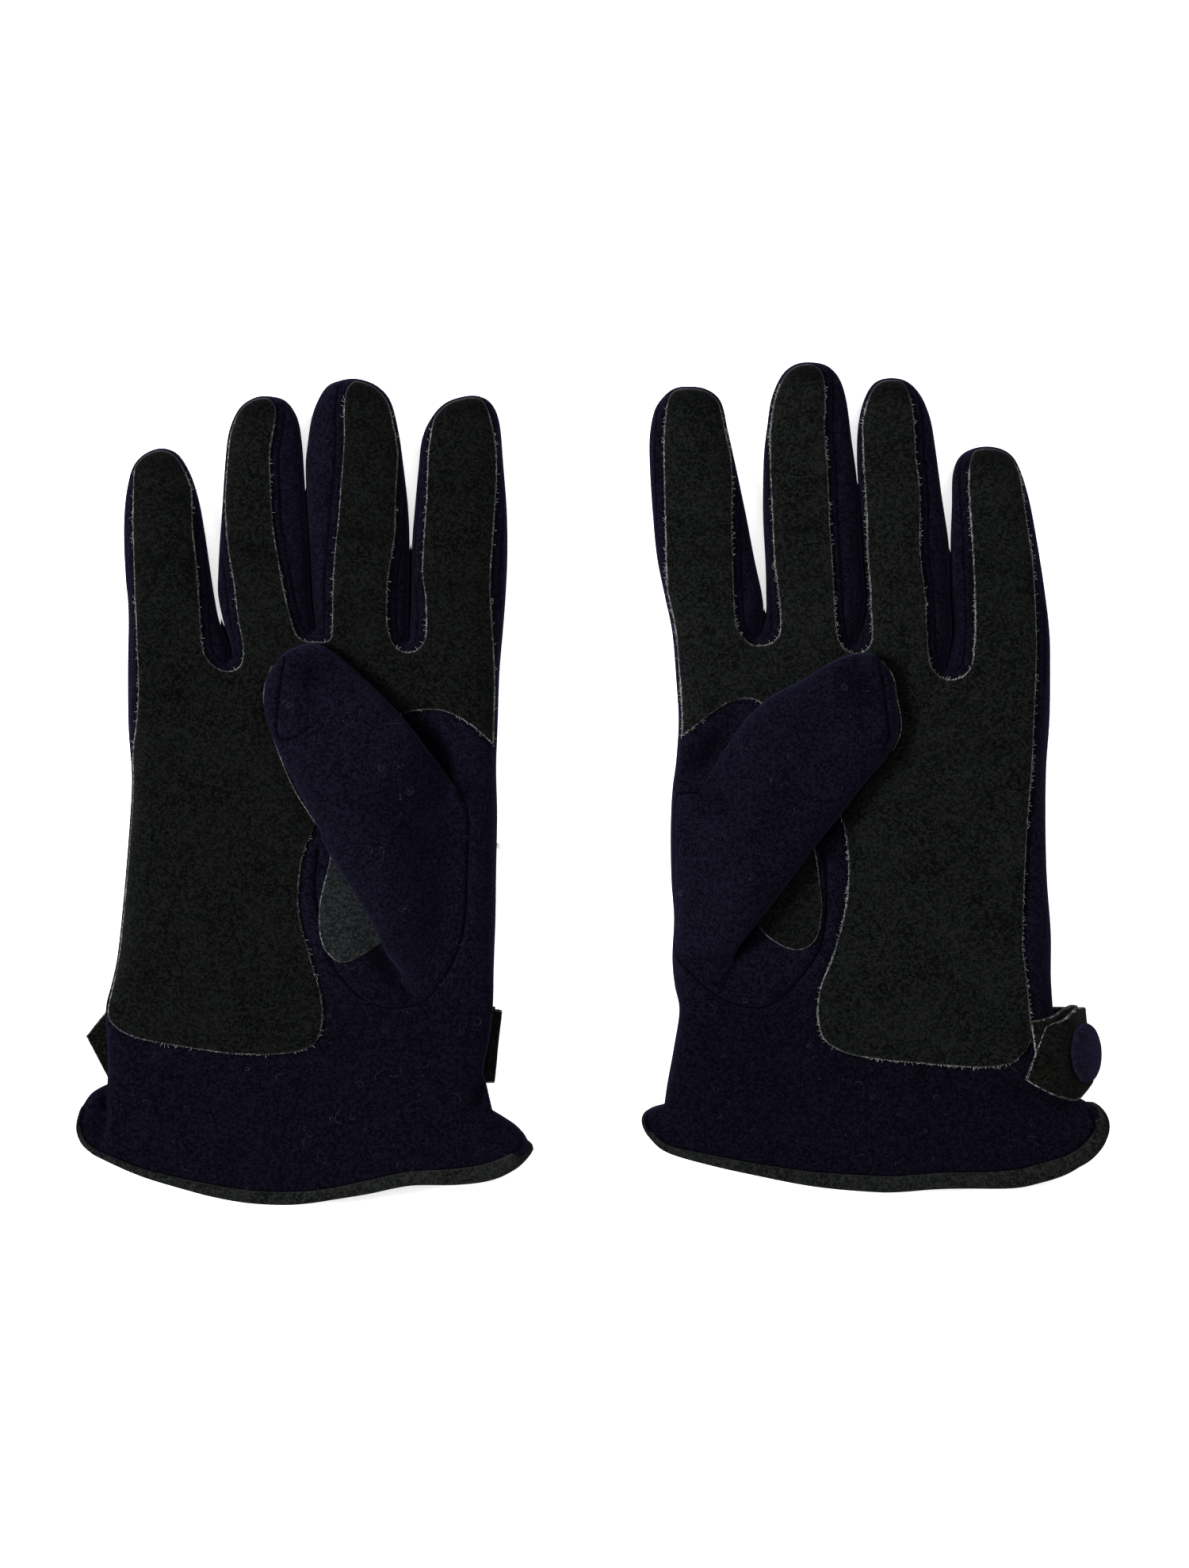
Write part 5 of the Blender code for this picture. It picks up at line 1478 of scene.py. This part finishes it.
class Nodes:
    """A new material, with short calls that add and join its nodes."""

    def __init__(self, name):
        self.material = bpy.data.materials.new(name)
        self.material.use_nodes = True
        self.tree = self.material.node_tree
        self.tree.nodes.clear()

    def add(self, kind, **settings):
        node = self.tree.nodes.new(kind)
        for key, value in settings.items():
            setattr(node, key, value)
        return node

    def feed(self, socket, value):
        """Joins another node's output to the socket, or sets the socket's own number."""
        if hasattr(value, "is_output"):
            self.tree.links.new(value, socket)
        else:
            socket.default_value = value

    def math(self, operation, a, b=0.0, c=0.0):
        node = self.add("ShaderNodeMath", operation=operation)
        for socket, value in zip(node.inputs, (a, b, c)):
            self.feed(socket, value)
        return node.outputs[0]

    def place(self):
        return self.add("ShaderNodeAttribute", attribute_name="weave").outputs["Vector"]

    # Each point's painted shade, from 0 to 1, as the mesh carries it.
    def painted_shade_and_tone(self):
        return self.add("ShaderNodeAttribute", attribute_name="painted_shade_and_tone").outputs["Fac"]

    def noise(self, vector, scale, detail, roughness):
        node = self.add("ShaderNodeTexNoise")
        self.feed(node.inputs["Vector"], vector)
        node.inputs["Scale"].default_value = scale
        node.inputs["Detail"].default_value = detail
        node.inputs["Roughness"].default_value = roughness
        return node.outputs["Fac"]

    def speckle(self, vector, weight):
        """(level, hue) of each small cell, as a nap or fuzz has where its fibres lean together."""
        node = self.add("ShaderNodeTexVoronoi")
        self.feed(node.inputs["Vector"], vector)
        node.inputs["Scale"].default_value = GRAIN_SCALE
        split = self.add("ShaderNodeSeparateColor")
        self.feed(split.inputs[0], node.outputs["Color"])
        level = self.math("MULTIPLY", self.math("POWER", split.outputs[0], 2.0), weight)
        return level, split.outputs[1]

    def spread(self, value, low, high):
        """0 where the value is low or less, 1 where it is high or more."""
        node = self.add("ShaderNodeMapRange")
        self.feed(node.inputs["Value"], value)
        node.inputs["From Min"].default_value = low
        node.inputs["From Max"].default_value = high
        return node.outputs["Result"]

    def mix(self, factor, a, b):
        node = self.add("ShaderNodeMix", data_type="RGBA")
        self.feed(node.inputs["Factor"], factor)
        for key, value in (("A", a), ("B", b)):
            socket = next(s for s in node.inputs if s.name == key and s.type == "RGBA")
            self.feed(socket, (*value, 1.0) if isinstance(value, tuple) else value)
        return next(s for s in node.outputs if s.type == "RGBA")

    def two_toned(self, hue, color):
        """The color, warmer in some cells and cooler in others."""
        warm = tuple(c * k for c, k in zip(color, WARM))
        cool = tuple(c * (2 - k) for c, k in zip(color, WARM))
        return self.mix(hue, warm, cool)

    def bump(self, height, distance, strength):
        node = self.add("ShaderNodeBump")
        node.inputs["Strength"].default_value = strength
        node.inputs["Distance"].default_value = distance
        self.feed(node.inputs["Height"], height)
        return node.outputs["Normal"]

    def surface(self, color, normal=None, **numbers):
        """The shader and the material's output. Numbers are the shader's other sockets, with
        their names' spaces as underscores."""
        shader = self.add("ShaderNodeBsdfPrincipled")
        self.feed(shader.inputs["Base Color"],
                  (*color, 1.0) if isinstance(color, tuple) else color)
        for name, number in numbers.items():
            shader.inputs[name.replace("_", " ")].default_value = number
        if normal is not None:
            self.feed(shader.inputs["Normal"], normal)
        out = self.add("ShaderNodeOutputMaterial")
        self.feed(out.inputs["Surface"], shader.outputs[0])
        return self.material


def knit_material(name, dark, light):
    """Brushed jersey: columns of small stitches under a haze of loose fibres."""
    n = Nodes(name)
    place = n.place()
    split = n.add("ShaderNodeSeparateXYZ")
    n.feed(split.inputs[0], place)
    column = n.math("FRACT", n.math("DIVIDE", split.outputs["X"], STITCH_WIDTH))
    ridge = n.math("MULTIPLY", n.math("ABSOLUTE", n.math("SUBTRACT", column, 0.5)), 2.0)
    row = n.math("ADD", n.math("DIVIDE", split.outputs["Y"], STITCH_LENGTH),
                 n.math("MULTIPLY", ridge, 0.5))
    stitch = n.math("SINE", n.math("MULTIPLY", row, 2 * math.pi))
    height = n.math("MULTIPLY", n.math("SUBTRACT", 1.0, n.math("POWER", ridge, 2.0)),
                    n.math("MULTIPLY_ADD", stitch, 0.25, 0.75))
    fuzz = n.noise(place, 1.7, 4.0, 0.8)
    haze = n.noise(place, 0.16, 3.0, 0.6)
    relief = n.math("ADD", n.math("MULTIPLY", height, 0.5), fuzz)
    level, hue = n.speckle(place, 1.16)
    fuzzy = n.math("MULTIPLY_ADD", n.spread(fuzz, 0.42, 0.58), 0.25, level)
    hazy = n.math("MULTIPLY_ADD", n.spread(haze, 0.35, 0.65), 0.12,
                  n.math("MULTIPLY", height, 0.2))
    cloth = n.mix(n.math("ADD", fuzzy, hazy), dark, n.two_toned(hue, light))
    # Painted shade: the cloth is darkened, down to a fifth of its darkest color, by each point's
    # painted shade.
    color = n.mix(n.painted_shade_and_tone(), cloth, tuple(0.2 * c for c in dark))
    return n.surface(color, n.bump(relief, 0.0002, 0.8), Roughness=0.95,
                     Specular_IOR_Level=0.0, Sheen_Weight=0.03, Sheen_Roughness=0.5,
                     Sheen_Tint=VIOLET)


def suede_material(name, dark, light):
    """Short nap: fine grain, with soft patches where it is brushed one way or the other."""
    n = Nodes(name)
    place = n.place()
    grain = n.noise(place, 1.7, 4.0, 0.8)
    patch = n.noise(place, 0.075, 3.0, 0.6)
    streak = n.noise(place, 0.4, 3.0, 0.6)
    level, hue = n.speckle(place, 1.22)
    nap = n.math("MULTIPLY_ADD", n.spread(grain, 0.42, 0.58), 0.2, level)
    brushed = n.math("MULTIPLY_ADD", n.spread(patch, 0.36, 0.64), 0.2,
                     n.math("MULTIPLY", n.spread(streak, 0.35, 0.65), 0.08))
    relief = n.math("ADD", grain, n.math("MULTIPLY", streak, 0.5))
    cloth = n.mix(n.math("ADD", nap, brushed), dark, n.two_toned(hue, light))
    # Painted shade: the suede is darkened, down to three tenths of its darkest color, by each point's
    # painted shade.
    color = n.mix(n.painted_shade_and_tone(), cloth, tuple(0.3 * c for c in dark))
    return n.surface(color, n.bump(relief, 0.00025, 0.8), Roughness=0.95,
                     Specular_IOR_Level=0.0, Sheen_Weight=0.02, Sheen_Roughness=0.5,
                     Sheen_Tint=(0.9, 1.0, 0.95, 1.0))


def raw_edge_material(name, dark, light):
    """A cut edge of suede: pale fibres broken up by dark ones."""
    n = Nodes(name)
    place = n.place()
    tufts = n.spread(n.noise(place, 0.9, 4.0, 0.7), 0.46, 0.58)
    worn = n.spread(n.noise(place, 0.13, 2.0, 0.5), 0.4, 0.6)
    pale = n.math("MULTIPLY", tufts, n.math("MULTIPLY_ADD", worn, 0.75, 0.25))
    # Painted shade: the pale fibres are darkened, fully where the suede's painted shade passes about
    # 0.4, so the edge goes dark in folds, beside the thumb and near the fingertips.
    lit = n.math("SUBTRACT", 1.0, n.math("MINIMUM", n.math("MULTIPLY", n.painted_shade_and_tone(), 2.6), 1.0))
    color = n.mix(n.math("MULTIPLY", pale, lit), dark, light)
    return n.surface(color, n.bump(tufts, 0.0002, 0.6), Roughness=0.95,
                     Specular_IOR_Level=0.0, Sheen_Weight=0.05, Sheen_Roughness=0.5)


def fibre_material(name, color):
    return Nodes(name).surface(color, Roughness=0.9, Specular_IOR_Level=0.1)


def brass_material(name):
    return Nodes(name).surface((0.62, 0.46, 0.2), Roughness=0.35, Specular_IOR_Level=0.1,
                               Metallic=1.0)


def make_materials():
    black = (0.0001, 0.0001, 0.0001)
    return {
        "knit": knit_material("navy_knit", (0.0001, 0.0001, 0.0003), (0.0031, 0.0028, 0.0059)),
        "button": knit_material("button_cloth", (0.0008, 0.0007, 0.0022),
                                (0.0060, 0.0053, 0.0104)),
        "right_suede": suede_material("right_hand_suede", black, (0.0034, 0.0039, 0.0036)),
        "left_suede": suede_material("left_hand_suede", black, (0.0047, 0.0052, 0.0051)),
        "pale_suede": suede_material("gusset_suede", (0.0008, 0.0010, 0.0011),
                                     (0.0098, 0.0107, 0.0115)),
        "strap": suede_material("strap_suede", black, (0.0037, 0.0036, 0.0032)),
        "binding": suede_material("binding_suede", (0.0005, 0.0006, 0.0006),
                                  (0.0077, 0.0083, 0.0082)),
        "raw_edge": raw_edge_material("raw_edge", (0.004, 0.005, 0.005), (0.12, 0.13, 0.12)),
        "fibre": fibre_material("fibre", (0.26, 0.26, 0.25)),
        "lint": fibre_material("lint", (0.07, 0.07, 0.08)),
        "brass": brass_material("stud_brass"),
    }


# Stage


def make_floor():
    """A white floor that glows a little, so that it stays white in soft light."""
    mesh = bpy.data.meshes.new("floor")
    corners = ((-1, -1), (1, -1), (1, 1), (-1, 1))
    mesh.from_pydata([(x * FLOOR_SIZE, y * FLOOR_SIZE, FLOOR_Z) for x, y in corners], [],
                     [(0, 1, 2, 3)])
    floor = bpy.data.objects.new("floor", mesh)
    bpy.context.scene.collection.objects.link(floor)
    mesh.materials.append(Nodes("floor_white").surface(
        (0.95, 0.95, 0.95), Roughness=0.9, Specular_IOR_Level=0.0,
        Emission_Color=(1.0, 1.0, 1.0, 1.0), Emission_Strength=0.55))


def make_lights():
    world = bpy.data.worlds.new("studio")
    bpy.context.scene.world = world
    world.use_nodes = True
    background = world.node_tree.nodes["Background"]
    background.inputs["Color"].default_value = (1.0, 1.0, 1.0, 1.0)
    background.inputs["Strength"].default_value = 0.38
    for name, place, size, power in (
        ("key", (-0.9, 0.1, 0.95), 0.45, 38.0),
        ("fill", (0.8, 0.7, 1.2), 0.9, 12.0),
        ("top", (0.0, 0.3, 1.6), 1.3, 10.0),
    ):
        light = bpy.data.lights.new(name, "AREA")
        light.shape = "DISK"
        light.size = size
        light.energy = power
        lamp = bpy.data.objects.new(name, light)
        lamp.location = place
        lamp.rotation_euler = (-Vector(place)).to_track_quat("-Z", "Y").to_euler()
        bpy.context.scene.collection.objects.link(lamp)


def make_camera():
    """Straight down over the pair, with LONG_SIDE of table along the picture's long side."""
    low, high = CAD_BOX
    data = bpy.data.cameras.new("camera")
    camera = bpy.data.objects.new("camera", data)
    bpy.context.scene.collection.objects.link(camera)
    subject = (low.z + high.z) / 2 * 0.7
    data.sensor_fit = "AUTO"
    data.sensor_width = 36.0
    data.lens = data.sensor_width * (CAMERA_Z - subject) / LONG_SIDE
    data.clip_start, data.clip_end = 0.05, 20.0
    camera.location = (0.0, CAMERA_Y, CAMERA_Z)
    scene = bpy.context.scene
    scene.camera = camera
    scene.view_settings.view_transform = "Standard"
    scene.view_settings.look = "None"


def main():
    materials = make_materials()
    for plan in (RIGHT, LEFT):
        glove = Glove(plan)
        make_skin(glove, materials)
        make_overlay(glove, materials)
        make_gusset_patch(glove, materials)
        make_thumb(glove, materials)
        make_thumb_suede(glove, materials)
        make_binding(glove, materials)
        (make_right_strap if glove.side == "right" else make_left_strap)(glove, materials)
        make_lint(glove, materials)
    for name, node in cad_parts.items():
        if not node.hide_render:
            node.data.materials.clear()
            node.data.materials.append(materials["brass" if "stud" in name else "strap"])
    make_floor()
    make_lights()
    make_camera()


main()
